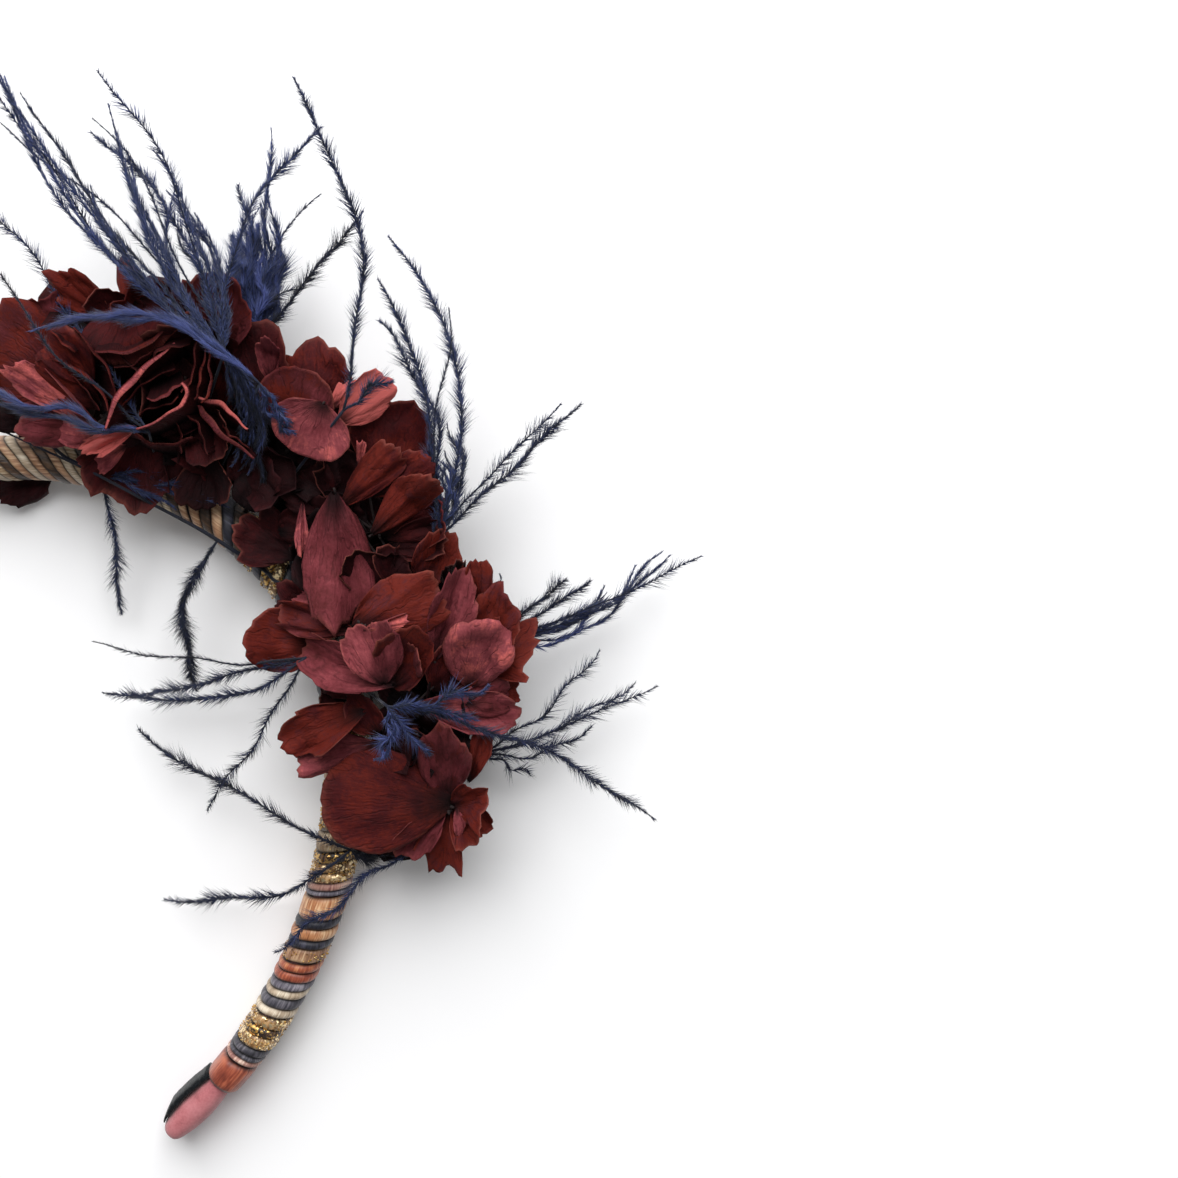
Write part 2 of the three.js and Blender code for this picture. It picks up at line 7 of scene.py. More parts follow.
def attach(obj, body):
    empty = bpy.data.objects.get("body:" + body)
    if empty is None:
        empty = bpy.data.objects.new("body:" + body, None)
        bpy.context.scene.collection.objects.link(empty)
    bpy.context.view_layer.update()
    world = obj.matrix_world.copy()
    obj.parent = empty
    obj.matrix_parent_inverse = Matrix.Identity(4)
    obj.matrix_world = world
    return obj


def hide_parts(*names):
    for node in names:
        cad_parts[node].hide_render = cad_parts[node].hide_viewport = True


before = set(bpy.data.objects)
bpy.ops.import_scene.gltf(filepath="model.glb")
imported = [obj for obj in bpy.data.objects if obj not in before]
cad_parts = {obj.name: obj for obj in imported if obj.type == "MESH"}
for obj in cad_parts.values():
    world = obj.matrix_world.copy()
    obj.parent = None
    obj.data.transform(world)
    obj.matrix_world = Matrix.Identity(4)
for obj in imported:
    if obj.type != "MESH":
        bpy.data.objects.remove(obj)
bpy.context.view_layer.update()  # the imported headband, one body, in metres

mm = 0.001
body = "root"
# one seed for each kind of piece, so that a change to one leaves the others alone
seeds = {"band": 3, "lining": 11, "leg": 20, "shoulder": 40, "crown": 41, "floret": 100, "bloom": 140,
         "undergrowth": 150, "tuft": 300}


# small helpers shared by all pieces

def toLinear(hexColour):
    parts = [int(hexColour[i:i + 2], 16) / 255 for i in (1, 3, 5)]
    linear = [p / 12.92 if p <= 0.04045 else ((p + 0.055) / 1.055) ** 2.4 for p in parts]
    return (*linear, 1.0)


def addNode(tree, kind, settings=None, links=None):
    # a link may come from a socket, or from a node's first output
    node = tree.nodes.new("ShaderNode" + kind)
    for key, value in (settings or {}).items():
        if isinstance(key, int) or key in node.inputs:
            node.inputs[key].default_value = value
        else:
            setattr(node, key, value)
    for key, source in (links or {}).items():
        socket = source.outputs[0] if isinstance(source, bpy.types.Node) else source
        tree.links.new(socket, node.inputs[key])
    return node


def newMaterial(name):
    material = bpy.data.materials.new(name)
    material.use_nodes = True
    tree = material.node_tree
    tree.nodes.clear()
    return material, tree


def finishMaterial(tree, settings, links):
    shader = addNode(tree, "BsdfPrincipled", settings, links)
    addNode(tree, "OutputMaterial", None, {"Surface": shader})


def setRamp(node, stops):
    ramp = node.color_ramp
    while len(ramp.elements) < len(stops):
        ramp.elements.new(0.5)
    for element, (place, colour) in zip(ramp.elements, stops):
        element.position = place
        element.color = toLinear(colour)


def makePiece(name, points, faces, materials, materialIndex=None, values=None, uv=None):
    # points in millimetres; faces is a list of index arrays, each (n, 3) or (n, 4)
    mesh = bpy.data.meshes.new(name)
    points = np.asarray(points, float) * mm
    sizes = np.concatenate([np.full(len(f), f.shape[1]) for f in faces])
    corners = np.concatenate([f.ravel() for f in faces])
    mesh.vertices.add(len(points))
    mesh.vertices.foreach_set("co", points.ravel())
    mesh.loops.add(len(corners))
    mesh.loops.foreach_set("vertex_index", corners.astype(np.int32))
    mesh.polygons.add(len(sizes))
    starts = np.concatenate([[0], np.cumsum(sizes)[:-1]])
    mesh.polygons.foreach_set("loop_start", starts.astype(np.int32))
    for material in materials:
        mesh.materials.append(material)
    if materialIndex is not None:
        mesh.polygons.foreach_set("material_index", np.asarray(materialIndex, np.int32))
    mesh.update(calc_edges=True)
    if uv is not None:
        layer = mesh.uv_layers.new(name="UVMap")
        layer.data.foreach_set("uv", np.asarray(uv, float)[corners].ravel())
    for key, data in (values or {}).items():
        attribute = mesh.attributes.new(key, "FLOAT", "POINT")
        attribute.data.foreach_set("value", np.asarray(data, np.float32))
    mesh.polygons.foreach_set("use_smooth", np.full(len(sizes), True))
    mesh.validate()
    piece = bpy.data.objects.new(name, mesh)
    bpy.context.scene.collection.objects.link(piece)
    return piece


def settle(piece, node):
    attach(piece, body)
    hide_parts(node)


def pieceName(node):
    # crown_spray becomes crownSpray
    words = node.split("_")
    return words[0] + "".join(w.title() for w in words[1:])


class MeshPot:
    # gathers many small meshes so that they become one piece
    def __init__(self):
        self.points, self.quads, self.tris, self.uv = [], [], [], []
        self.quadSlots, self.triSlots = [], []
        self.values = {}
        self.count = 0

    def add(self, points, quads=None, tris=None, slot=0, uv=None, **values):
        n = len(points)
        self.points.append(np.asarray(points, float))
        if quads is not None and len(quads):
            self.quads.append(np.asarray(quads) + self.count)
            self.quadSlots.append(np.full(len(quads), slot))
        if tris is not None and len(tris):
            self.tris.append(np.asarray(tris) + self.count)
            self.triSlots.append(np.full(len(tris), slot))
        self.uv.append(np.zeros((n, 2)) if uv is None else np.asarray(uv, float))
        for key, value in values.items():
            spread = np.broadcast_to(np.asarray(value, float), (n,))
            self.values.setdefault(key, []).append(spread)
        self.count += n

    def piece(self, name, materials):
        faces, slots = [], []
        if self.quads:
            faces.append(np.concatenate(self.quads))
            slots.append(np.concatenate(self.quadSlots))
        if self.tris:
            faces.append(np.concatenate(self.tris))
            slots.append(np.concatenate(self.triSlots))
        values = {k: np.concatenate(v) for k, v in self.values.items()}
        return makePiece(name, np.concatenate(self.points), faces, materials, np.concatenate(slots),
                         values, np.concatenate(self.uv))


def gridFaces(rows, columns, closed=False):
    last = columns if closed else columns - 1
    a = (np.arange(rows - 1)[:, None] * columns + np.arange(last)[None, :]).ravel()
    j = (np.arange(last) + 1) % columns
    b = (np.arange(rows - 1)[:, None] * columns + j[None, :]).ravel()
    return np.stack([a, b, b + columns, a + columns], 1)


def capEnds(points, rows, sides, middles):
    # shuts both ends of a row of rings with fans around two added points
    i = np.arange(sides)
    j = (i + 1) % sides
    first, last, base = rows * sides, rows * sides + 1, (rows - 1) * sides
    fans = np.concatenate([np.stack([np.full(sides, first), j, i], 1),
                           np.stack([np.full(sides, last), base + i, base + j], 1)])
    return np.concatenate([points, middles]), fans


def closedSleeve(points, rows, sides):
    # faces of a row of rings with shut ends
    middles = np.stack([points[:sides].mean(0), points[-sides:].mean(0)])
    points, fans = capEnds(points, rows, sides, middles)
    return points, gridFaces(rows, sides, True), fans


def tubeMesh(path, radii, sides=6):
    # closed tapered tube along points
    path = np.asarray(path, float)
    along = np.gradient(path, axis=0)
    along /= np.linalg.norm(along, axis=1)[:, None]
    side = np.cross(along, (0.0, 0.0, 1.0))
    upright = np.linalg.norm(side, axis=1) < 0.1
    side[upright] = np.cross(along[upright], (1.0, 0.0, 0.0))
    side /= np.linalg.norm(side, axis=1)[:, None]
    up = np.cross(side, along)
    turn = np.arange(sides) * 2 * math.pi / sides
    ring = np.cos(turn)[None, :, None] * side[:, None] + np.sin(turn)[None, :, None] * up[:, None]
    points = (path[:, None] + ring * np.asarray(radii)[:, None, None]).reshape(-1, 3)
    points, fans = capEnds(points, len(path), sides, path[[0, -1]])
    return points, gridFaces(len(path), sides, True)[:, ::-1], fans[:, [0, 2, 1]]


def smoothStep(x, low, high):
    t = np.clip((x - low) / (high - low), 0, 1)
    return t * t * (3 - 2 * t)


# the camera, straight over the crown's outer side as in the photograph

camera = {"place": (118.86, 55.75, 482.71), "aim": (118.86, -27.6, 10.0), "lens": 69.2, "sensor": 36,
          "nearest": 10}


def makeCamera():
    data = bpy.data.cameras.new("photoCamera")
    data.lens = camera["lens"]
    data.sensor_width = camera["sensor"]
    data.clip_start = camera["nearest"] * mm
    lens = bpy.data.objects.new("photoCamera", data)
    back = (Vector(camera["place"]) - Vector(camera["aim"])).normalized()
    right = Vector((1, 0, 0))
    up = back.cross(right)
    turn = Matrix((right, up, back)).transposed().to_4x4()
    lens.matrix_world = Matrix.Translation(Vector(camera["place"]) * mm) @ turn
    bpy.context.scene.collection.objects.link(lens)
    bpy.context.scene.camera = lens


makeCamera()
print("camera set")


# the arch that the band follows, from the crown to a tip

bandArch = {"radius": (71, 60, 116), "turn": (36, 54, 45), "straightEnd": 10, "midHeight": 6.5}
curvedLength = sum(r * math.radians(t) for r, t in zip(bandArch["radius"], bandArch["turn"]))
halfLength = curvedLength + bandArch["straightEnd"]


def archPoint(along):
    along = np.asarray(along, float)
    side = np.where(along < 0, -1.0, 1.0)
    left = np.abs(along)
    heading = np.zeros_like(left)
    x = np.zeros_like(left)
    y = np.zeros_like(left)
    for radius, turn in zip(bandArch["radius"], bandArch["turn"]):
        part = np.minimum(math.radians(turn), left / radius)
        after = heading - part
        x = x + radius * (np.sin(heading) - np.sin(after))
        y = y + radius * (np.cos(after) - np.cos(heading))
        heading = after
        left = left - radius * part
    x = x + left * np.cos(heading)
    y = y + left * np.sin(heading)
    return side * x, y, side * -np.sin(heading), np.cos(heading)


def onBand(along, offset, height):
    # a point beside the band's middle line: offset is outward, height is from the floor
    x, y, outX, outY = archPoint(along)
    return np.stack(np.broadcast_arrays(x + outX * offset, y + outY * offset, height), -1)


def ovalShare(angle, power=2.3):
    c, s = np.cos(angle), np.sin(angle)
    return np.sign(c) * np.abs(c) ** (2 / power), np.sign(s) * np.abs(s) ** (2 / power)


# pink suede cloth, glued over the strip: matt and soft, with a short nap that catches light unevenly
def pinkSuede():
    material, tree = newMaterial("pinkSuedeCloth")
    spot = addNode(tree, "TexCoord").outputs["Object"]
    patch = addNode(tree, "TexNoise", {"Scale": 1 / (5 * mm), "Detail": 3}, {"Vector": spot})
    nap = addNode(tree, "TexNoise", {"Scale": 1 / (0.5 * mm), "Detail": 2}, {"Vector": spot})
    blend = addNode(tree, "Math", {"operation": "MULTIPLY_ADD", 1: 0.45}, {0: nap, 2: patch})
    colour = addNode(tree, "ValToRGB", None, {"Fac": blend})
    setRamp(colour, [(0.4, "#7a4145"), (0.7, "#a96367"), (0.95, "#b87478")])
    bump = addNode(tree, "Bump", {"Strength": 0.5, "Distance": 0.15 * mm}, {"Height": nap})
    finish = {"Roughness": 0.92, "Sheen Weight": 0.35, "Sheen Roughness": 0.5, "Specular IOR Level": 0.25}
    finishMaterial(tree, finish, {"Base Color": colour, "Normal": bump})
    return material


def grainedStuff(name, size, stops, bumpStrength, bumpDeep, finish):
    # one fine grain, sized in mm, gives both the tones and the bumps
    material, tree = newMaterial(name)
    spot = addNode(tree, "TexCoord").outputs["Object"]
    grain = addNode(tree, "TexNoise", {"Scale": 1 / (size * mm), "Detail": 3}, {"Vector": spot})
    colour = addNode(tree, "ValToRGB", None, {"Fac": grain})
    setRamp(colour, stops)
    bump = addNode(tree, "Bump", {"Strength": bumpStrength, "Distance": bumpDeep * mm}, {"Height": grain})
    finishMaterial(tree, finish, {"Base Color": colour, "Normal": bump})
    return material


# black cotton velvet: swallows light, with a faint grey bloom at its pile
def blackVelvet():
    finish = {"Roughness": 0.95, "Sheen Weight": 0.2, "Sheen Roughness": 0.4, "Specular IOR Level": 0.1}
    stops = [(0.35, "#0b0d0f"), (0.6, "#181b1e"), (0.8, "#2b3033")]
    return grainedStuff("blackVelvet", 0.45, stops, 0.7, 0.2, finish)


# the covered strip, bare at both tips

bandCover = {
    "back": (0.0, 0.25, 0.7, 1.4, 2.4, 4.0, 6.0, 8.0, 10.0, 12.0, 14.0, 17.0),  # from the tip
    "deep": (0.6, 1.3, 2.0, 2.45, 2.8, 3.1, 3.3, 3.38, 3.4, 3.3, 3.1, 2.7),     # half thickness
    "high": (1.2, 2.5, 3.5, 4.0, 4.3, 4.55, 4.7, 4.8, 4.9, 4.9, 4.9, 4.9),      # half height
    "bare": 20, "round": 3, "roundSteps": 13, "bareFrom": 3.6, "bareStep": 0.7, "step": 4, "sides": 40,
    "lumps": (1, 2, 2, 3, 3, 4), "lumpEvery": (0.3, 1.3), "lumpHigh": 0.1,
}


def makeBand(material):
    b = bandCover
    # rings stand close at the round tip, wider on the bare end and widest under the windings
    ends = np.concatenate([np.linspace(0, b["round"], b["roundSteps"]),
                           np.arange(b["bareFrom"], b["bare"], b["bareStep"])])
    wound = halfLength - b["bare"]
    middle = np.linspace(wound, -wound, int(2 * wound / b["step"]))
    stations = np.concatenate([halfLength - ends, middle[1:-1], -(halfLength - ends)[::-1]])
    back = halfLength - np.abs(stations)
    deep = np.interp(back, b["back"], b["deep"])
    high = np.interp(back, b["back"], b["high"])
    angle = np.arange(b["sides"]) * 2 * math.pi / b["sides"]
    c, s = ovalShare(angle)
    rng = np.random.default_rng(seeds["band"])
    wave = sum(rng.normal() * np.sin(stations[:, None] * rng.uniform(*b["lumpEvery"]) + angle * k
                                     + rng.uniform(0, 6)) for k in b["lumps"])
    wave = wave / len(b["lumps"]) * b["lumpHigh"] * smoothStep(back, 0.2, 3)[:, None]
    points = onBand(stations[:, None], deep[:, None] * c + wave * c,
                    bandArch["midHeight"] + high[:, None] * s + wave * s).reshape(-1, 3)
    points, quads, fans = closedSleeve(points, len(stations), b["sides"])
    settle(makePiece("bandCover", points, [quads, fans], [material]), "band")


# dark pads inside the two tips

tipLining = {"start": 1.6, "end": 17.1, "thick": 1.6, "thin": 0.3, "thickenBy": 2.5, "high": 3.9,
             "highTip": 2.0, "gap": 0.08, "ragged": 0.35, "rows": 44, "sides": 28, "squareness": 3.2}


def makeTipLining(side, node, material):
    t = tipLining
    rng = np.random.default_rng(seeds["lining"])
    back = np.linspace(t["start"], t["end"], t["rows"])
    inner = np.interp(back, bandCover["back"], bandCover["deep"]) + t["gap"]
    share = (back - t["start"]) / (t["end"] - t["start"])
    high = t["highTip"] + (t["high"] - t["highTip"]) * np.sqrt(np.clip(share * 3, 0, 1))
    angle = np.arange(t["sides"]) * 2 * math.pi / t["sides"]
    c, s = ovalShare(angle, t["squareness"])
    rag = sum(np.sin(back * f + rng.uniform(0, 6)) for f in (1.1, 2.3, 3.9)) / 3 * t["ragged"]
    thick = t["thick"] * np.clip(share * t["thickenBy"] + t["thin"], 0, 1)
    offset = -(inner[:, None] + thick[:, None] * (0.5 - 0.5 * c))
    height = bandArch["midHeight"] + (high + rag)[:, None] * s
    points = onBand(side * (halfLength - back)[:, None], offset, height).reshape(-1, 3)
    points, quads, fans = closedSleeve(points, t["rows"], t["sides"])
    if side < 0:  # the mirrored pad has its faces the other way round
        quads, fans = quads[:, ::-1], fans[:, ::-1]
    settle(makePiece(pieceName(node), points, [quads, fans], [material]), node)


# windings of ribbon, cord and metallic thread

# wound cloth: silky ribs across the ribbon, some pale and some dark, with shade painted into the grooves
# between its turns
def woundCloth(name, groove, shade, middle, light, roughness, fleck=None):
    material, tree = newMaterial(name)
    mapped = addNode(tree, "UVMap", {"uv_map": "UVMap"})
    spot = addNode(tree, "TexCoord").outputs["Object"]
    depth = addNode(tree, "Attribute", {"attribute_name": "crest"}).outputs["Fac"]
    # ribs are 0.4 mm apart, drawn at 0.55 mm so that they still show, and 7 mm long
    drawn = addNode(tree, "VectorMath", {"operation": "MULTIPLY", 1: (1 / 0.55, 1 / 7, 0)}, {0: mapped})
    rib = addNode(tree, "TexNoise", {"Scale": 1.0, "Detail": 3, "Roughness": 0.7}, {"Vector": drawn})
    patch = addNode(tree, "TexNoise", {"Scale": 1 / 5, "Detail": 2}, {"Vector": mapped})
    blend = addNode(tree, "Math", {"operation": "MULTIPLY_ADD", 1: 0.7}, {0: patch, 2: rib})
    colour = addNode(tree, "ValToRGB", None, {"Fac": blend})
    setRamp(colour, [(0.62, shade), (0.84, middle), (1.0, light)])
    # the groove colour is painted shade, strongest where crest falls to 0 between turns
    grooveShaded = addNode(tree, "Mix", {"data_type": "RGBA", 6: toLinear(groove)}, {0: depth, 7: colour})
    bump = addNode(tree, "Bump", {"Strength": 0.7, "Distance": 0.25 * mm}, {"Height": rib})
    links = {"Base Color": grooveShaded.outputs[2], "Normal": bump}
    if fleck:
        # sequin-like facets of metal thread, 0.5 mm across
        cells = addNode(tree, "TexVoronoi", {"Scale": 1 / (0.5 * mm)}, {"Vector": spot})
        bright = addNode(tree, "SeparateColor", None, {0: cells.outputs["Color"]})
        spark = addNode(tree, "Math", {"operation": "GREATER_THAN", 1: 0.68}, {0: bright})
        shown = addNode(tree, "Mix", {"data_type": "RGBA", 7: toLinear(fleck)},
                        {0: spark, 6: grooveShaded.outputs[2]})
        links.update({"Base Color": shown.outputs[2], "Metallic": spark})
    finishMaterial(tree, {"Roughness": roughness, "Sheen Weight": 0.1, "Specular IOR Level": 0.4}, links)
    return material


# gold lame thread: bright drawn metal, scattered grains from pale straw to brown
def goldThread():
    material, tree = newMaterial("goldLameThread")
    grain = addNode(tree, "Attribute", {"attribute_name": "crest"}).outputs["Fac"]
    colour = addNode(tree, "ValToRGB", None, {"Fac": grain})
    setRamp(colour, [(0.0, "#5d3d16"), (0.5, "#c9994a"), (1.0, "#f6dfa6")])
    spot = addNode(tree, "TexCoord").outputs["Object"]
    rub = addNode(tree, "TexNoise", {"Scale": 1 / (0.8 * mm)}, {"Vector": spot})
    dull = addNode(tree, "MapRange", {"To Min": 0.18, "To Max": 0.42}, {"Value": rub})
    finishMaterial(tree, {"Metallic": 1.0}, {"Base Color": colour, "Roughness": dull})
    return material


# each cloth: groove (the painted shade where turns meet), shade, middle, light, roughness, and the colour
# of its metal flecks if it has any
windingCloths = {
    "copper": woundCloth("copperSatinRibbon", "#1d0a08", "#5c2419", "#8d432f", "#b9684a", 0.4),
    "rose": woundCloth("roseCreamCord", "#2c2022", "#7d504a", "#b28577", "#dcc2b0", 0.55),
    "charcoal": woundCloth("charcoalCord", "#08080a", "#1f1e24", "#3b3942", "#6c6870", 0.55),
    "bronze": woundCloth("bronzeBraid", "#060403", "#150e0b", "#33231b", "#6b4d30", 0.35, "#d8b06a"),
    "gold": woundCloth("goldLameBraid", "#150c06", "#47301a", "#8a653c", "#cfa97a", 0.34, "#fbe2b2"),
    "cream": woundCloth("creamCord", "#352b24", "#7d6a57", "#b7a38a", "#e0d3bd", 0.55),
    "violet": woundCloth("greyVioletCord", "#100f14", "#38343d", "#605b66", "#98929a", 0.55),
    "rust": woundCloth("rustRibbon", "#220d0a", "#6b2b1b", "#9f5034", "#c98258", 0.45),
    "tan": woundCloth("tanRibbon", "#20150f", "#6b4a34", "#a3795a", "#cfae8a", 0.5),
    "peach": woundCloth("peachRibbon", "#26140c", "#7f4528", "#bd8055", "#e3bd94", 0.45),
    "navy": woundCloth("navyCord", "#050508", "#11111a", "#23232f", "#454453", 0.5),
    "umber": woundCloth("umberSatinRibbon", "#0a0605", "#1b120d", "#382619", "#5f4630", 0.4),
    "lace": woundCloth("laceRibbon", "#2a2019", "#4d3828", "#94795a", "#d8c6a9", 0.6),
}
clothNames = list(windingCloths)
goldGrain = goldThread()

winding = {
    "bareTip": 17.4, "crestEnd": 4.2, "crestLeg": 4.85, "swellOver": 40, "boreDeep": 3.0, "boreHigh": 5.2,
    "girth": 36, "sides": 52, "across": 9, "gap": 0.3, "legValley": 0.8, "shoulderValley": 0.5,
    "crownValley": 0.3, "crownHalf": 36, "crownTurns": 32, "shoulderTurns": 28, "shoulderGrains": 50,
    "waver": 0.05, "wavers": (1, 2, 3, 5), "slack": 0.1, "patternShift": 500,
    "grainSink": 0.05, "grainSize": (0.16, 0.34), "grainStretch": (0.6, 1.2), "grainReach": 0.85,
    "grainUnder": 0.3,
}
# how far a turn leans across the band: along from the crown, lean in mm
windingSlant = {"along": (-185, -157, -75, -36, 40, 78, 157, 185),
                "lean": (0.3, 1.4, 1.4, -4, -4, -1.6, -1.4, -0.3)}

# turns on a leg from the tip upward: length along the band, cloth, gold grains on it
legTurns = {
    "copper_wrap": [(7.2, "copper", 0)],
    "gold_wrap": [(1.4, "rose", 0), (1.2, "charcoal", 0), (2.0, "charcoal", 0), (3.2, "gold", 60),
                  (2.2, "bronze", 30), (2.8, "gold", 45)],
    "grey_wrap": [(2.2, "cream", 0), (2.6, "charcoal", 0), (2.0, "cream", 0), (2.2, "violet", 0),
                  (2.4, "copper", 0), (2.2, "rust", 0)],
    "navy_wrap": [(3.4, "tan", 45), (2.0, "navy", 0), (2.8, "peach", 0), (2.0, "navy", 0),
                  (5.6, "peach", 0)],
    "lace_wrap": [(1.2, "violet", 0), (1.8, "rose", 0), (2.4, "gold", 45), (2.2, "gold", 45),
                  (2.6, "bronze", 40), (4.8, "lace", 25), (2.8, "bronze", 70)],
}
shoulderCloths = ["tan", "umber", "tan", "navy", "umber", "bronze", "navy", "bronze", "gold", "navy", "tan",
                  "bronze", "navy", "bronze"]
crownCloths = ["cream", "tan", "umber", "tan", "cream", "lace", "umber", "tan"]


def crestDeep(level):
    # half thickness of the windings, thinner toward a tip
    back = halfLength - np.abs(level)
    share = np.clip((back - winding["bareTip"]) / winding["swellOver"], 0, 1)
    return winding["crestEnd"] + share * (winding["crestLeg"] - winding["crestEnd"])


def turnSwell(across, length):
    # rise of a turn from its edges at -1 and 1 to its middle; a wide turn lies flatter
    return (1 - np.abs(across) ** max(2.0, 0.9 * length)) ** 0.6


def turnLean(level):
    return np.interp(level, windingSlant["along"], windingSlant["lean"])


def facingOut(points, quads):
    # turns the faces of a closed mesh outward
    a, b, c, d = (points[quads[:, i]] for i in range(4))
    volume = np.sum(a * np.cross(b, c)) + np.sum(a * np.cross(c, d))
    return quads if volume > 0 else quads[:, ::-1]


def windTurn(pot, start, length, towards, cloth, grains, rng, valley):
    # one turn from start over length; towards is +1 along the arch or -1 against it
    w = winding
    n = w["sides"]
    angle = -math.pi / 2 + np.arange(n) * 2 * math.pi / n
    c, s = ovalShare(angle)
    across = np.linspace(-1, 1, w["across"])
    swell = turnSwell(across, length)
    level = start + towards * length * (across[:, None] * 0.5 + 0.5)
    along = level + turnLean(level) * np.cos(angle)
    wave = sum(rng.normal() * np.sin(angle * k + rng.uniform(0, 6)) for k in w["wavers"]) * w["waver"]
    rise = -valley * (1 - swell)[:, None] + (wave - w["slack"])[None, :] * swell[:, None]
    deep = crestDeep(level) + rise
    high = bandArch["midHeight"] + np.minimum(rise, 0.0)
    points = onBand(along, deep * c, bandArch["midHeight"] + high * s)
    bore = [onBand(along[k], w["boreDeep"] * c, bandArch["midHeight"] + w["boreHigh"] * s) for k in (-1, 0)]
    rows = np.concatenate([points, np.stack(bore)])
    flat = rows.reshape(-1, 3)
    quads = gridFaces(len(rows) + 1, n, True) % len(flat)
    around = (angle / (2 * math.pi) * w["girth"])[None, :] + rng.uniform(0, w["patternShift"])
    down = np.concatenate([across, across[[-1, 0]]])[:, None] * length / 2
    down = down + rng.uniform(0, w["patternShift"])
    uv = np.stack(np.broadcast_arrays(around, down), -1).reshape(-1, 2)
    # crest is 1 on a turn's middle and 0 at its edges and in the bore, where the painted groove shade shows
    crest = np.concatenate([swell ** 0.8, [0, 0]])[:, None] * np.ones((1, n))
    pot.add(flat, facingOut(flat, quads), None, clothNames.index(cloth), uv, crest=crest.ravel())
    goldGrains(pot, start, length, towards, grains, rng, valley)


def goldGrains(pot, start, length, towards, grains, rng, valley):
    # faceted grains of metallic thread pressed on a turn
    w, middle = winding, bandArch["midHeight"]
    ball = np.array([(1, 0, 0), (-1, 0, 0), (0, 1, 0), (0, -1, 0), (0, 0, 1), (0, 0, -1)], float)
    facets = np.array([(0, 2, 4), (2, 1, 4), (1, 3, 4), (3, 0, 4),
                       (2, 0, 5), (1, 2, 5), (3, 1, 5), (0, 3, 5)])
    for k in range(grains):
        angle = rng.uniform(-w["grainUnder"], math.pi + w["grainUnder"])
        place = rng.uniform(-w["grainReach"], w["grainReach"])
        level = start + towards * length * (place * 0.5 + 0.5)
        c, s = ovalShare(angle)
        sink = valley * (1 - turnSwell(place, length)) + w["grainSink"]
        at = onBand(level + turnLean(level) * math.cos(angle), (crestDeep(level) - sink) * c,
                    middle + (middle - sink) * s)
        spin = np.linalg.qr(rng.normal(size=(3, 3)))[0]
        grain = (ball * rng.uniform(*w["grainSize"]) * rng.uniform(*w["grainStretch"], 3)) @ spin
        pot.add(at + grain, None, facets, len(clothNames), None, crest=rng.uniform(0, 1))


def makeWindings():
    w = winding
    materials = [windingCloths[k] for k in clothNames] + [goldGrain]
    for side, word in ((1, "right"), (-1, "left")):
        back = w["bareTip"]
        for k, (name, turns) in enumerate(legTurns.items()):
            rng = np.random.default_rng(seeds["leg"] + k)
            pot = MeshPot()
            for length, cloth, grains in turns:
                windTurn(pot, side * (halfLength - back), length, -side, cloth, grains, rng, w["legValley"])
                back += length
            back += w["gap"]
            settle(pot.piece(pieceName(f"{name}_{word}"), materials),
                   f"{name}_{word}")
        rng = np.random.default_rng(seeds["shoulder"])
        pot = MeshPot()
        start = w["crownHalf"] + w["gap"]
        length = (halfLength - back - start) / w["shoulderTurns"]
        for k in range(w["shoulderTurns"]):
            cloth = shoulderCloths[k % len(shoulderCloths)]
            grains = w["shoulderGrains"] if cloth in ("bronze", "gold") else 0
            windTurn(pot, side * (start + k * length), length, side, cloth, grains, rng,
                     w["shoulderValley"])
        node = f"shoulder_wrap_{word}"
        settle(pot.piece(pieceName(node), materials), node)
    rng = np.random.default_rng(seeds["crown"])
    pot = MeshPot()
    length = 2 * w["crownHalf"] / w["crownTurns"]
    for k in range(w["crownTurns"]):
        cloth = crownCloths[k % len(crownCloths)]
        windTurn(pot, k * length - w["crownHalf"], length, 1, cloth, 0, rng, w["crownValley"])
    settle(pot.piece("crownWrap", materials), "crown_wrap")


makeBand(pinkSuede())
velvet = blackVelvet()
for side, node in ((1, "tip_lining_right"), (-1, "tip_lining_left")):
    makeTipLining(side, node, velvet)
makeWindings()
print("band, tip linings and windings made")
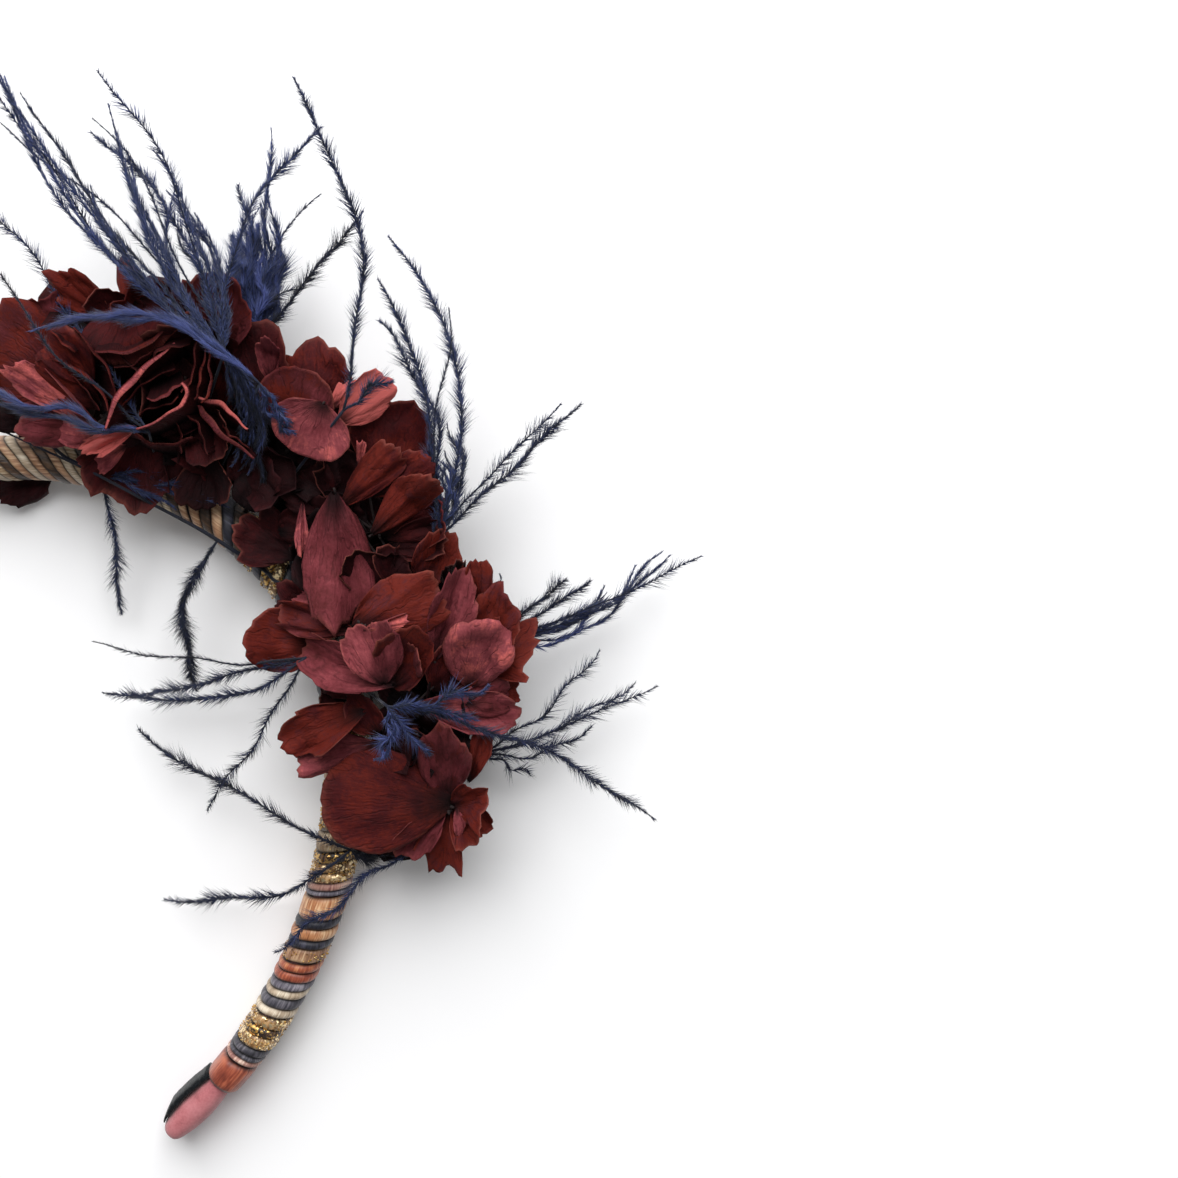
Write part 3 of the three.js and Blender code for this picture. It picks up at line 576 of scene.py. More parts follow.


# florets: preserved hydrangea

# preserved petals: papery and matt, wine red with rust and dusty rose, with painted shade almost black
# toward the base, a thin painted highlight along the rim, and long fine dark lines that fan from the base
def preservedPetal():
    material, tree = newMaterial("preservedHydrangeaPetal")
    mapped = addNode(tree, "UVMap", {"uv_map": "UVMap"})
    tone, rim, root, under = [addNode(tree, "Attribute", {"attribute_name": name}).outputs["Fac"]
                              for name in ("tone", "rim", "root", "under")]
    spot = addNode(tree, "TexCoord").outputs["Object"]
    blotch, grain = [addNode(tree, "TexNoise",
                             {"Scale": 1 / (size * mm), "Detail": 4, "Roughness": roughness},
                             {"Vector": spot}) for size, roughness in ((6, 0.6), (0.7, 0.7))]
    sway = addNode(tree, "TexNoise", {"Scale": 0.5, "Detail": 2}, {"Vector": mapped})
    bent = addNode(tree, "VectorMath", {"operation": "MULTIPLY_ADD", 1: (1.0, 1.0, 0)},
                   {0: sway.outputs["Color"], 2: mapped})
    # lines 0.4 mm apart and 5 mm long, veins 1.4 mm apart and 14 mm long, one at each side of a wave
    lines, waves = [addNode(tree, "VectorMath",
                            {"operation": "MULTIPLY", 1: (1 / apart, 1 / long, 0)},
                            {0: bent}) for apart, long in ((0.4, 5), (2.8, 14))]
    crease = addNode(tree, "TexNoise", {"Scale": 1.0, "Detail": 4, "Roughness": 0.6}, {"Vector": lines})
    field = addNode(tree, "TexNoise", {"Scale": 1.0, "Detail": 2}, {"Vector": waves})
    ridge = addNode(tree, "Math", {"operation": "SUBTRACT", 1: 0.5}, {0: field})
    ridge = addNode(tree, "Math", {"operation": "ABSOLUTE"}, {0: ridge})
    vein = addNode(tree, "MapRange",
                   {"From Min": 0.0, "From Max": 0.025, "To Min": 1.0, "To Max": 0.0},
                   {"Value": ridge})
    shift = tone
    for amount, source in ((0.45, blotch), (0.2, crease), (0.1, under), (0.18, grain)):
        shift = addNode(tree, "Math", {"operation": "MULTIPLY_ADD", 1: amount}, {0: source, 2: shift})
    shift = addNode(tree, "Math", {"operation": "SUBTRACT", 1: 0.42}, {0: shift})
    colour = addNode(tree, "ValToRGB", None, {"Fac": shift})
    setRamp(colour, [(0.0, "#090405"), (0.15, "#130608"), (0.35, "#290b0e"), (0.5, "#421214"),
                     (0.62, "#601e15"), (0.7, "#4f1e20"), (0.82, "#6b2d33"), (0.92, "#853f44"),
                     (1.0, "#b85b57")])
    veinShade = addNode(tree, "Math", {"operation": "MULTIPLY", 1: 0.3}, {0: vein})
    rimHighlight = addNode(tree, "Math", {"operation": "MULTIPLY"}, {0: rim, 1: grain})
    # dark veins, then the painted shade at the base, then the painted highlight along the rim
    painted = colour
    for share, paint in ((veinShade, "#160607"), (root, "#0a0507"), (rimHighlight, "#8a4c42")):
        painted = addNode(tree, "Mix", {"data_type": "RGBA", 7: toLinear(paint)},
                          {0: share, 6: painted}).outputs[2]
    height = addNode(tree, "Math", {"operation": "MULTIPLY_ADD", 1: -0.3}, {0: vein, 2: crease})
    bump = addNode(tree, "Bump", {"Strength": 0.9, "Distance": 0.4 * mm}, {"Height": height})
    finer = addNode(tree, "Bump", {"Strength": 0.8, "Distance": 0.16 * mm},
                    {"Height": grain, "Normal": bump})
    dull = addNode(tree, "MapRange", {"To Min": 0.6, "To Max": 0.88}, {"Value": grain})
    finishMaterial(tree, {"Specular IOR Level": 0.12},
                   {"Base Color": painted, "Normal": finer, "Roughness": dull})
    return material


# dried flower stalk: thin, woody, brown red with long grain
def driedStalk():
    stops = [(0.3, "#0b0405"), (0.6, "#1c0a0a"), (0.85, "#321411")]
    return grainedStuff("driedFlowerStalk", 0.6, stops, 0.5, 0.15, {"Roughness": 0.85})


# rootShade and rootReach: how dark and how far up from the base the painted shade goes
petalLook = {
    "thick": 0.26, "thinEdge": 0.5, "across": 25, "lengthwise": 23, "foot": 0.05,
    "pleat": 0.12, "pleats": (2.3, 4.1, 7.3), "pleatMiddle": 0.6,
    "creases": 3, "creaseTurn": 2.4, "creaseBack": (0.0, 0.3), "creaseSlope": 0.5, "creaseRound": 0.2,
    "ruffle": 0.05, "ruffles": 9, "curlRim": 0.1, "twist": 0.22,
    "crumple": 0.063, "crumples": 7, "crumpleFirst": 3.0, "crumpleMore": 1.9, "smoothFoot": 0.35,
    "serrate": 0.022, "teeth": (11, 23, 41), "keepBeyond": 40, "turnVary": 3.0, "reachVary": 0.06,
    "rootShade": 0.95, "rootReach": (0.02, 0.5), "patternShift": 900,
}

# plans of petals as seen from the base: direction from the middle line, reach as a share of the length
petalShapes = {
    "fan": [
        (-56, 0.5), (-48, 0.8), (-30, 0.98), (-8, 1.0), (12, 1.0), (30, 0.94), (46, 0.74), (54, 0.46),
    ],
    "round": [
        (-68, 0.4), (-52, 0.7), (-30, 0.94), (0, 1.0), (28, 0.95), (50, 0.72), (68, 0.42),
    ],
    "diamond": [
        (-46, 0.42), (-34, 0.78), (-20, 0.97), (0, 1.0), (10, 0.99), (20, 0.84), (36, 0.64), (46, 0.36),
    ],
    "boat": [
        (-40, 0.32), (-30, 0.7), (-16, 0.95), (0, 1.0), (12, 0.97), (20, 0.88), (32, 0.64), (40, 0.32),
    ],
    "blade": [
        (-26, 0.36), (-20, 0.76), (-12, 0.96), (2, 1.0), (9, 0.98), (16, 0.84), (22, 0.66), (28, 0.34),
    ],
    "torn": [
        (-54, 0.46), (-44, 0.84), (-28, 0.78), (-14, 1.0), (4, 0.96), (12, 0.78), (28, 0.88), (40, 0.6),
        (52, 0.4),
    ],
    "heart": [
        (-56, 0.5), (-40, 0.9), (-18, 1.0), (0, 0.88), (20, 0.98), (40, 0.9), (56, 0.5),
    ],
}

# each floret: the place of its knot, then one row a petal: base x, y, z, tip x, y, z, width, shape, curl,
# cup, fold (up at the sides, or a ridge below zero), roughness, tone (black wine 0, maroon 0.4, rust 0.62,
# dusty rose 0.8, coral 1)
florets = {
    "crown_back_floret": ((17, 26, 15), [
        (14, 17, 20, -3, 28, 28, 23, "round", -26, 0.1, 0, 0.6, 0.57),
        (22, 30, 22, 12, 41, 28, 8, "torn", -12, 0.2, 0.3, 1, 0.5),
        (24, 28, 22, 24, 38, 26, 12, "torn", -10, 0.3, 0, 1, 0.38),
        (12, 26, 22, 8, 35, 27, 11, "fan", -15, 0.2, 0, 1, 0.6),
        (15, 23, 19, 13, 37, 23, 14, "round", -10, 0.2, 0, 1, 0.3),
    ]),
    "crown_top_floret": ((32, 26, 14), [
        (31, 27, 24, 28, 40, 28, 15, "torn", -15, 0.2, 0.2, 1.1, 0.46),
        (28, 33, 25, 26, 41, 28, 6, "blade", -8, 0.3, 0.3, 1, 0.55),
        (33, 28, 23, 34, 38, 26, 13, "fan", -12, 0.25, 0, 1, 0.34),
        (43, 22, 22, 45, 40, 28, 15, "diamond", -15, 0.2, 0.2, 0.8, 0.62),
    ]),
    "crown_bloom": ((37, 17, 24), [
        (27, 35, 26, 30, 25, 33, 25, "fan", 12, 0.2, 0, 0.7, 0.36),
        (42, 11, 22, 50, 22, 27, 13, "fan", -15, 0.3, 0, 1, 0.44),
        (42, 10, 21, 50, 14, 25, 6, "blade", -10, 0.3, 0, 1, 0.62),
        (26, 12, 20, 24, 26, 27, 16, "round", 10, 0.4, 0, 0.8, 0.3),
        (36, 10, 20, 30, 22, 26, 16, "round", 10, 0.4, 0, 0.8, 0.2),
        (38, 10, 20, 46, 3, 24, 14, "fan", -10, 0.3, 0, 0.8, 0.3),
        (42, 15, 21, 39, 33, 25, 18, "fan", -10, 0.2, 0, 1, 0.28),
        (52, 13, 20, 50, 29, 25, 14, "round", -10, 0.2, 0, 1, 0.34),
    ]),
    "crown_left_floret": ((21, 10, 24), [
        (19, 17, 26, 12, 29, 31, 10, "boat", -15, 0.3, 0.2, 1, 0.42),
        (20, 12, 24, 9, 23, 31, 11, "boat", -20, 0.3, 0, 1, 0.46),
        (19, 9, 24, 3, 22, 30, 8, "blade", -15, 0.2, 0.15, 0.8, 0.84),
        (20, 7, 21, 3, 10, 26, 10, "fan", -15, 0.25, 0, 1, 0.68),
        (19, 7, 22, 11, 9, 27, 8, "round", -25, 0.2, 0, 0.7, 0.84),
    ]),
    "crown_low_floret": ((28, 5, 17), [
        (28, 9, 26, 14, 3, 26, 5, "torn", -12, 0.25, 0, 1.3, 1.0),
        (24, 4, 19, 13, -1, 17, 6, "torn", -10, 0.2, 0, 1, 0.82),
        (28, 8, 19, 20, -7, 14, 20, "fan", -15, 0.2, 0, 1, 0.34),
        (34, 6, 18, 32, -8, 14, 15, "torn", -15, 0.2, 0, 1, 0.3),
        (5, -4, 5, -6, -9, 3, 9, "diamond", 0, 0.1, 0, 1, 0.2),
        (23, 8, 10, 34, 2, 11, 13, "round", 0, 0.1, 0, 0.5, 0.1),
        (40, 3, 18, 41, -9, 16, 13, "fan", -12, 0.2, 0, 1, 0.14),
    ]),
    "pair_floret": ((62, 10, 25), [
        (63, 10, 20, 63, 26, 25, 15, "round", -15, 0.25, 0, 0.9, 0.42),
        (59, 6, 25, 62, 21, 32, 16, "fan", -25, 0.1, 0, 0.35, 0.6),
        (66, 14, 31, 60, 3, 28, 17, "round", 14, 0.08, 0, 0.25, 0.8),
        (55, 17, 26, 54, 29, 31, 5, "blade", -10, 0.3, 0.4, 1.2, 0.76),
        (67, 12, 24, 71, 18, 26, 5, "torn", -10, 0.2, 0, 1, 0.92),
        (66, 6, 20, 70, 18, 23, 13, "round", -10, 0.2, 0, 1, 0.34),
        (68, 9, 25, 79, 18, 29, 9, "diamond", -14, 0.2, 0, 0.7, 1.02),
    ]),
    "back_floret": ((77, 0, 15), [
        (77, -4, 19, 82, 13, 24, 19, "fan", -14, 0.2, 0, 0.8, 0.42),
        (70, -2, 18, 69, 9, 21, 14, "round", -10, 0.2, 0, 1, 0.26),
        (72, 0, 24, 73, 6, 28, 2, "blade", -10, 0.2, 0, 1, 0.88),
    ]),
    "fan_floret": ((75, -14, 20), [
        (68, -8, 24, 81, 5, 31, 8, "boat", -35, 0.3, -0.4, 0.8, 0.48),
        (74, -6, 24, 88, 3, 30, 8, "boat", -25, 0.3, -0.4, 0.8, 0.44),
        (74, -14, 25, 88, 0, 31, 8, "boat", -30, 0.2, -0.5, 0.8, 0.52),
        (76, -15, 22, 89, -6, 26, 12, "fan", -20, 0.3, 0, 0.8, 0.36),
        (80, -17, 20, 92, -8, 24, 11, "torn", -15, 0.2, 0, 1, 0.64),
        (77, -17, 21, 90, -13, 25, 9, "fan", -15, 0.3, 0, 1, 0.3),
        (65, -10, 17, 59, 0, 20, 12, "fan", -10, 0.3, 0, 1, 0.24),
        (69, -8, 17, 65, 3, 20, 12, "torn", -10, 0.3, 0, 1, 0.16),
        (70, -4, 13, 81, -10, 13, 13, "round", 0, 0.1, 0, 0.5, 0.1),
    ]),
    "hanging_floret": ((68, -8, 22), [
        (67, -16, 17, 62, -6, 19, 10, "fan", -10, 0.1, 0, 0.8, 0.24),
        (60, -7, 20, 59, -19, 23, 3, "blade", -10, 0.2, 0.3, 1.2, 0.85),
        (58, -20, 15, 46, -11, 17, 14, "torn", -15, 0.3, 0, 1.3, 0.28),
        (67, -4, 26, 67, -31, 24, 15, "boat", -14, 0.06, -0.45, 0.8, 0.7),
        (74, -28, 20, 75, -16, 23, 15, "fan", -10, 0.2, 0, 1, 0.22),
        (80, -26, 20, 80, -15, 23, 12, "heart", -10, 0.2, 0, 1, 0.26),
    ]),
    "rust_floret": ((73, -32, 29), [
        (85, -25, 22, 89, -13, 27, 11, "diamond", -15, 0.2, 0.2, 1, 0.56),
        (70, -33, 31, 89, -22, 30, 14, "diamond", -22, 0.1, 0.1, 0.7, 0.54),
    ]),
    "heart_floret": ((75, -42, 25), [
        (77, -44, 31, 74, -29, 36, 13, "heart", -25, 0.3, 0, 1, 0.76),
        (73, -32, 35, 82, -29, 36, 3, "blade", -8, 0.3, 0, 1, 0.86),
        (78, -45, 28, 86, -31, 34, 11, "round", -25, 0.5, 0, 1, 0.46),
        (80, -45, 28, 85, -34, 33, 6, "boat", -20, 0.4, 0, 1, 0.64),
        (80, -44, 29, 58, -37, 24, 10, "boat", -14, 0.3, 0, 0.7, 0.7),
        (77, -45, 28, 60, -41, 25, 4, "blade", -8, 0.2, 0, 0.8, 0.82),
    ]),
    "inner_floret": ((63, -37, 17), [
        (62, -38, 18, 48, -36, 19, 14, "round", -14, 0.1, 0, 0.6, 0.52),
        (71, -34, 24, 54, -30, 22, 8, "boat", -14, 0.4, 0, 1, 0.58),
        (70, -31, 23, 58, -27, 22, 4, "blade", -8, 0.3, 0, 1, 0.8),
        (60, -33, 16, 56, -24, 18, 9, "torn", -8, 0.3, 0, 1, 0.3),
    ]),
    "side_floret": ((74, -56, 18), [
        (73, -47, 20, 63, -43, 19, 10, "fan", -10, 0.3, 0, 1, 0.32),
        (68, -50, 17, 62, -47, 17, 8, "torn", -10, 0.3, 0, 1, 0.26),
        (73, -50, 23, 55, -58, 21, 10, "boat", -15, 0.4, 0, 1, 0.52),
        (75, -58, 22, 58, -64, 19, 9, "diamond", -12, 0.1, 0, 0.8, 0.8),
        (75, -56, 23, 70, -47, 25, 8, "round", -12, 0.3, 0, 1, 0.42),
    ]),
    "mid_floret": ((91, -42, 20), [
        (87, -40, 26, 92, -20, 29, 11, "blade", -15, 0.2, 0.3, 1.1, 0.74),
        (94, -46, 24, 98, -29, 30, 15, "round", -25, 0.2, 0, 0.7, 0.82),
        (94, -42, 21, 107, -33, 25, 15, "torn", -15, 0.3, 0, 1.2, 0.52),
        (95, -40, 21, 101, -26, 26, 14, "fan", -15, 0.3, 0, 1.2, 0.56),
        (96, -31, 22, 95, -18, 26, 7, "diamond", -8, 0.3, 0.3, 1, 0.54),
        (91, -29, 21, 91, -18, 25, 6, "blade", -8, 0.3, 0.3, 1, 0.2),
        (83, -49, 25, 104, -52, 21, 10, "boat", -14, 0.2, 0, 0.7, 0.76),
        (93, -49, 24, 104, -47, 22, 10, "round", -14, 0.2, 0, 0.8, 0.66),
        (98, -48, 20, 105, -44, 21, 8, "torn", -8, 0.2, 0, 1, 0.5),
        (87, -48, 22, 92, -36, 25, 11, "fan", -12, 0.3, 0, 1, 0.42),
    ]),
    "lower_floret": ((89, -72, 21), [
        (91, -71, 22, 63, -69, 25, 23, "fan", -22, 0.05, 0, 0.25, 0.44),
        (89, -72, 21, 78, -82, 20, 8, "fan", -12, 0.2, 0, 0.9, 0.7),
        (89, -72, 21, 87, -89, 18, 11, "torn", -14, 0.15, 0, 0.7, 0.54),
        (90, -72, 21, 98, -69, 24, 10, "torn", -14, 0.2, 0, 1, 0.55),
        (90, -72, 20, 97, -79, 20, 10, "heart", -12, 0.2, 0, 1, 0.52),
        (91, -72, 22, 92, -78, 23, 3, "blade", -8, 0.3, 0, 1, 0.8),
        (89, -71, 22, 89, -53, 25, 12, "diamond", -15, 0.2, 0, 1, 0.66),
        (93, -69, 19, 97, -55, 22, 5, "blade", -8, 0.3, 0.3, 1, 0.5),
        (82, -66, 17, 78, -55, 20, 13, "fan", -10, 0.3, 0, 1, 0.28),
    ]),
}

# petals of the crown's bloom that stand on edge, one row a petal: three places along its rim x, y, x, y,
# x, y, the rim's height, depth of the petal, how far its foot stands to the left, edge rolled over (to the
# left, or right below zero), tone
bloomFolds = [
    (21, 24, 28, 25, 36, 29, 34, 9, 5, -0.8, 0.7),
    (23, 9, 28, 19, 37, 26, 35, 11, -4, -1.2, 0.94),
    (17, 29, 23, 22, 24, 14, 33, 10, -5, -0.4, 0.5),
    (9, 22, 19, 20, 23, 12, 32, 9, -4, -0.5, 0.56),
    (29, 9, 38, 13, 38, 18, 34, 10, -3, 0.9, 0.86),
    (31, 15, 35, 16, 38, 18, 33, 9, 3, -0.6, 0.78),
    (41, 15, 46, 12, 51, 9, 32, 9, -4, 1.1, 0.94),
    (40, 13, 43, 9, 51, 2, 29, 10, 5, 1.4, 0.66),
    (38, 16, 40, 20, 42, 27, 34, 9, -2, -0.4, 0.5),
    (40, 15, 42, 19, 43, 25, 34, 9, -2, -0.4, 0.52),
    (42, 14, 44, 19, 44, 25, 34, 9, 3, 0.5, 0.56),
    (32, 22, 35, 25, 40, 26, 34, 9, 3, -0.5, 0.46),
    (10, 29, 14, 27, 17, 24, 32, 8, 4, -0.4, 0.6),
    (25, 8, 32, 5, 39, 6, 27, 9, -3, 0.8, 0.36),
    (25, 13, 30, 17, 36, 21, 31, 9, 4, 0.3, 0.4),
    (28, 11, 33, 13, 37, 15, 31, 9, 3, 0.3, 0.4),
    (38, 11, 40, 8, 42, 3, 27, 9, 4, 0.4, 0.36),
    (34, 10, 36, 7, 36, 3, 26, 9, -4, 0.4, 0.34),
    (45, 9, 47, 7, 50, 4, 28, 8, -3, 0.4, 0.4),
    (24, 21, 29, 22, 34, 25, 31, 9, 4, 0.3, 0.36),
    (13, 19, 18, 17, 20, 12, 29, 8, -4, 0.3, 0.42),
]


def petalOutline(shape, u, rng, rough):
    # rim of a petal: for u from -1 to 1, direction from the base and reach as a share of the length
    look = petalLook
    corners = np.array(petalShapes[shape], float)
    inner = np.abs(corners[:, 0]) < look["keepBeyond"]  # the outermost corners keep their direction
    turned = corners[:, 0] + rng.normal(0, look["turnVary"] * rough, len(corners)) * inner
    far = corners[:, 1] * (1 + rng.normal(0, look["reachVary"] * rough, len(corners)))
    turned = np.sort(turned) * rng.choice((-1, 1))
    order = np.argsort(turned)
    theta = turned.min() + (turned.max() - turned.min()) * (u * 0.5 + 0.5)
    p = rng.uniform(0, 6, 3)
    reach = np.interp(theta, turned[order], far[order])
    saw = sum(np.sin(f * u + q) for f, q in zip(look["teeth"], p)) * look["serrate"] * rough
    return np.radians(theta), reach * (1 + saw)


def thinSheet(pot, middle, edge, uv, **values):
    # a thin closed sheet about a grid of points; edge is 1 where it thins out
    rows, columns = middle.shape[:2]
    n = rows * columns
    out = np.cross(np.gradient(middle, axis=1), np.gradient(middle, axis=0))
    out /= np.maximum(np.linalg.norm(out, axis=2, keepdims=True), 1e-9)
    half = petalLook["thick"] / 2 * (1 - petalLook["thinEdge"] * edge)[..., None]
    top, bottom = (middle + out * half).reshape(-1, 3), (middle - out * half).reshape(-1, 3)
    upper = gridFaces(rows, columns)
    ring = np.concatenate([np.arange(columns), np.arange(1, rows) * columns + columns - 1,
                           (rows - 1) * columns + np.arange(columns - 2, -1, -1),
                           np.arange(rows - 2, 0, -1) * columns])
    after = np.roll(ring, -1)
    skirt = np.stack([ring, ring + n, after + n, after], 1)
    twice = {key: np.tile(np.broadcast_to(value, (rows, columns)).ravel(), 2)
             for key, value in values.items()}
    pot.add(np.concatenate([top, bottom]), np.concatenate([upper, upper[:, ::-1] + n, skirt]), None, 0,
            np.tile(uv.reshape(-1, 2), (2, 1)), under=np.repeat([0.0, 1.0], n), **twice)


def petalLift(u, v, ahead, aside, long, wide, cup, fold, rough, p, rimCurl, rng):
    # how far a petal stands off its own plane: folded or cupped at the sides, pleated from the base, bent
    # along straight creases, ruffled, curled at the rim and crumpled
    look = petalLook
    lift = cup * aside ** 2 / (wide / 2) + fold * np.abs(aside)
    distance = np.hypot(ahead, aside)
    for k, f in enumerate(look["pleats"]):
        ridge = (np.abs(np.sin(f * u + p[k])) - look["pleatMiddle"]) / (1 + k)
        lift = lift + look["pleat"] * rough * distance * ridge
    for k in range(look["creases"]):
        a = rng.uniform(-look["creaseTurn"], look["creaseTurn"])
        past = (ahead - long / 2) * math.cos(a) + aside * math.sin(a)
        past = past - wide * rng.uniform(*look["creaseBack"])
        bent = 0.5 * (past + np.sqrt(past ** 2 + look["creaseRound"] ** 2))
        lift = lift + look["creaseSlope"] * rough * rng.normal() * bent
    lift = lift + look["ruffle"] * wide * rough * np.sin(look["ruffles"] * u + p[6]) * v ** 5
    lift = lift + look["curlRim"] * wide * rimCurl * v ** 9
    for k in range(look["crumples"]):
        stride = look["crumpleFirst"] + look["crumpleMore"] * k
        wave = np.sin(stride * (math.cos(p[8 + k]) * u + math.sin(p[8 + k]) * 2 * v) + p[15 + k])
        fade = smoothStep(v, 0.0, look["smoothFoot"])
        lift = lift + look["crumple"] * rough * wide / stride * wave * fade
    return lift


def petalSheet(pot, row, rng, coarse=1):
    look = petalLook
    base, tip = np.array(row[:3], float), np.array(row[3:6], float)
    wide, shape, curl, cup, fold, rough, tone = row[6:]
    u = np.linspace(-1, 1, look["across"] // coarse)[None, :]
    v = np.linspace(look["foot"], 1, look["lengthwise"] // coarse)[:, None]
    p = rng.uniform(0, 2 * math.pi, 24)
    g = rng.normal(0, 1, 8) * min(rough, 1.2)
    span = tip - base
    chord = np.linalg.norm(span)
    bend = math.radians(curl)
    long = chord * (bend / 2) / math.sin(bend / 2) if curl else chord
    theta, far = petalOutline(shape, u, rng, rough)
    ahead = v * far * np.cos(theta) * long
    aside = v ** 0.9 * far * np.sin(theta)
    aside = aside * wide / (aside.max() - aside.min())
    lift = petalLift(u, v, ahead, aside, long, wide, cup, fold, rough, p, g[3], rng)
    # the petal's plane climbs along an arc from base to tip and twists a little
    tilt = math.asin(span[2] / chord) - bend / 2 + bend * v
    steps = np.diff(v, axis=0, prepend=0) * long
    stretch = ahead / long / v
    forward = np.cumsum(np.cos(tilt) * steps, 0) * stretch
    climb = np.cumsum(np.sin(tilt) * steps, 0) * stretch
    a = math.atan2(span[1], span[0])
    twist = look["twist"] * g[1] * v
    onward = np.array([math.cos(a), math.sin(a), 0])
    left = np.array([-math.sin(a), math.cos(a), 0])
    up = np.array([0, 0, 1.0])
    normal = -np.sin(tilt)[..., None] * onward + np.cos(tilt)[..., None] * up
    side = np.cos(twist)[..., None] * left + np.sin(twist)[..., None] * normal
    face = np.cos(twist)[..., None] * normal - np.sin(twist)[..., None] * left
    middle = base + forward[..., None] * onward + climb[..., None] * up
    middle = middle + aside[..., None] * side + lift[..., None] * face
    # a patchy painted highlight along the rim, left off the coarse petals, and painted shade toward the
    # base
    rimHighlight = (0.5 + 0.5 * np.sin(4 * v + 3 * u + p[22])) * float(coarse == 1)
    rim = np.maximum(np.abs(u) ** 40 * smoothStep(v, 0.4, 0.7), v ** 40) * rimHighlight
    root = look["rootShade"] * (1 - smoothStep(v, *look["rootReach"])) * np.ones_like(u)
    # the pattern is laid out in millimetres, fanning from the base
    sideways = u * wide / 2 + rng.uniform(0, look["patternShift"])
    uv = np.stack(np.broadcast_arrays(sideways, v * long), -1)
    edge = np.maximum(np.abs(u) ** 6, v ** 8)
    thinSheet(pot, middle, edge, uv, tone=tone, rim=rim, root=root)


# steps along the rim, down the petal and around its rolled edge, the roll's first and last angle, its
# height as a share of its breadth, and the darker tone painted on the inner faces as shade
bloomLook = {
    "along": 37, "down": 12, "around": 8, "roll": (0.15, 1.45), "crest": 0.6, "inside": 0.34,
    "rise": ((0.8, 4), (0.3, 13)), "wander": ((0.4, 6), (0.15, 17)),  # waves of the rim: height, turns
    "ends": 0.35, "uneven": 0.3, "sag": 0.6, "rootReach": (0.05, 0.5),
}


def bloomFold(pot, row, rng):
    look = bloomLook
    a, b, c = (np.array(row[i:i + 2], float) for i in (0, 2, 4))
    height, deep, foot, roll, tone = row[6:]
    t = np.linspace(0, 1, look["along"])[:, None]
    pull = 2 * b - (a + c) / 2
    rim = (1 - t) ** 2 * a + 2 * t * (1 - t) * pull + t ** 2 * c
    go = np.gradient(rim, axis=0)
    go /= np.linalg.norm(go, axis=1)[:, None]
    left = np.stack([-go[:, 1], go[:, 0]], 1)
    p = rng.uniform(0, 6, 8)
    # the roll is broadest in the middle of the rim, and the rim wanders up, down and aside
    full = look["ends"] + (1 - look["ends"]) * np.sin(math.pi * np.clip(t, 0.03, 0.97)) ** 0.8
    broad = roll * full * (1 + look["uneven"] * np.sin(5 * t + p[0]))
    rise = sum(high * np.sin(f * t + q) for (high, f), q in zip(look["rise"], p[1:3]))
    wander = sum(wide * np.sin(f * t + q) for (wide, f), q in zip(look["wander"], p[3:5]))
    down = np.linspace(1, 0, look["down"])[None, :]  # 1 at the foot, 0 where the edge begins to roll
    arc = np.linspace(*look["roll"], look["around"])[None, :]
    stand = foot * down ** 1.4 + wander * (1 - 0.6 * down)
    stand = stand + look["sag"] * np.sin(3 * down + p[5]) * np.sin(4 * t + p[6]) * down
    low = height - deep * down + (rise - look["crest"] * np.abs(broad)) * (1 - down)
    rolled = stand[:, -1:] + broad * (1 - np.cos(arc))
    crest = low[:, -1:] + look["crest"] * np.abs(broad) * np.sin(arc)
    offset = np.concatenate([stand, rolled], 1)
    z = np.concatenate([low, crest], 1)
    middle = np.concatenate([rim[:, None, :] + offset[..., None] * left[:, None, :], z[..., None]], 2)
    turned = (arc - look["roll"][0]) / (look["roll"][1] - look["roll"][0])
    share = np.concatenate([0.6 * (1 - down), 0.6 + 0.4 * turned], 1) * np.ones_like(t)
    long = float(np.linalg.norm(np.diff(rim, axis=0), axis=1).sum())
    sideways = t * long + rng.uniform(0, petalLook["patternShift"])
    uv = np.stack(np.broadcast_arrays(sideways, share * deep), -1)
    # the inner faces take the darker inside tone as painted shade; the rolled edge gets a painted highlight
    # and the foot painted shade
    shown = look["inside"] + (tone - look["inside"]) * smoothStep(share, 0.55, 0.8)
    thinSheet(pot, middle, smoothStep(share, 0.8, 1), uv, tone=shown, rim=0.8 * smoothStep(share, 0.9, 1),
              root=petalLook["rootShade"] * (1 - smoothStep(share, *look["rootReach"])))


# radius of stalks and of the petals' stems, how far a foot goes into the windings, and the buds' scales
stalkLook = {"floret": 0.5, "feather": 0.3, "stem": 0.28, "stemFrom": 4, "stemSteps": 5, "stemSides": 5,
             "steps": 7, "sunk": 0.2, "onTop": 0.9, "footRise": 2.5}
knotLook = {"scales": 7, "reach": (0.5, 1.9), "rise": (0.8, 2.2), "radii": (0.5, 0.62, 0.5, 0.42, 0.25)}
# stalks and buds carry painted shade, half as dark as at a petal's base
stalkTone = {"tone": 0.2, "rim": 0.0, "root": 0.5, "under": 0.0}


def footOnBand(place):
    # where a stalk meets the windings: beside them, or on top of them
    look = stalkLook
    stations = np.arange(-halfLength, halfLength, 1.0)
    x, y, outX, outY = archPoint(stations)
    k = int(np.argmin(np.hypot(x - place[0], y - place[1])))
    offset = (place[0] - x[k]) * outX[k] + (place[1] - y[k]) * outY[k]
    beside = winding["crestLeg"] - look["sunk"]
    if abs(offset) < beside + look["onTop"]:
        return np.array([place[0], place[1], 2 * bandArch["midHeight"] - look["sunk"]])
    aside = math.copysign(beside, offset)
    height = bandArch["midHeight"] + look["footRise"]
    return np.array([x[k] + outX[k] * aside, y[k] + outY[k] * aside, height])


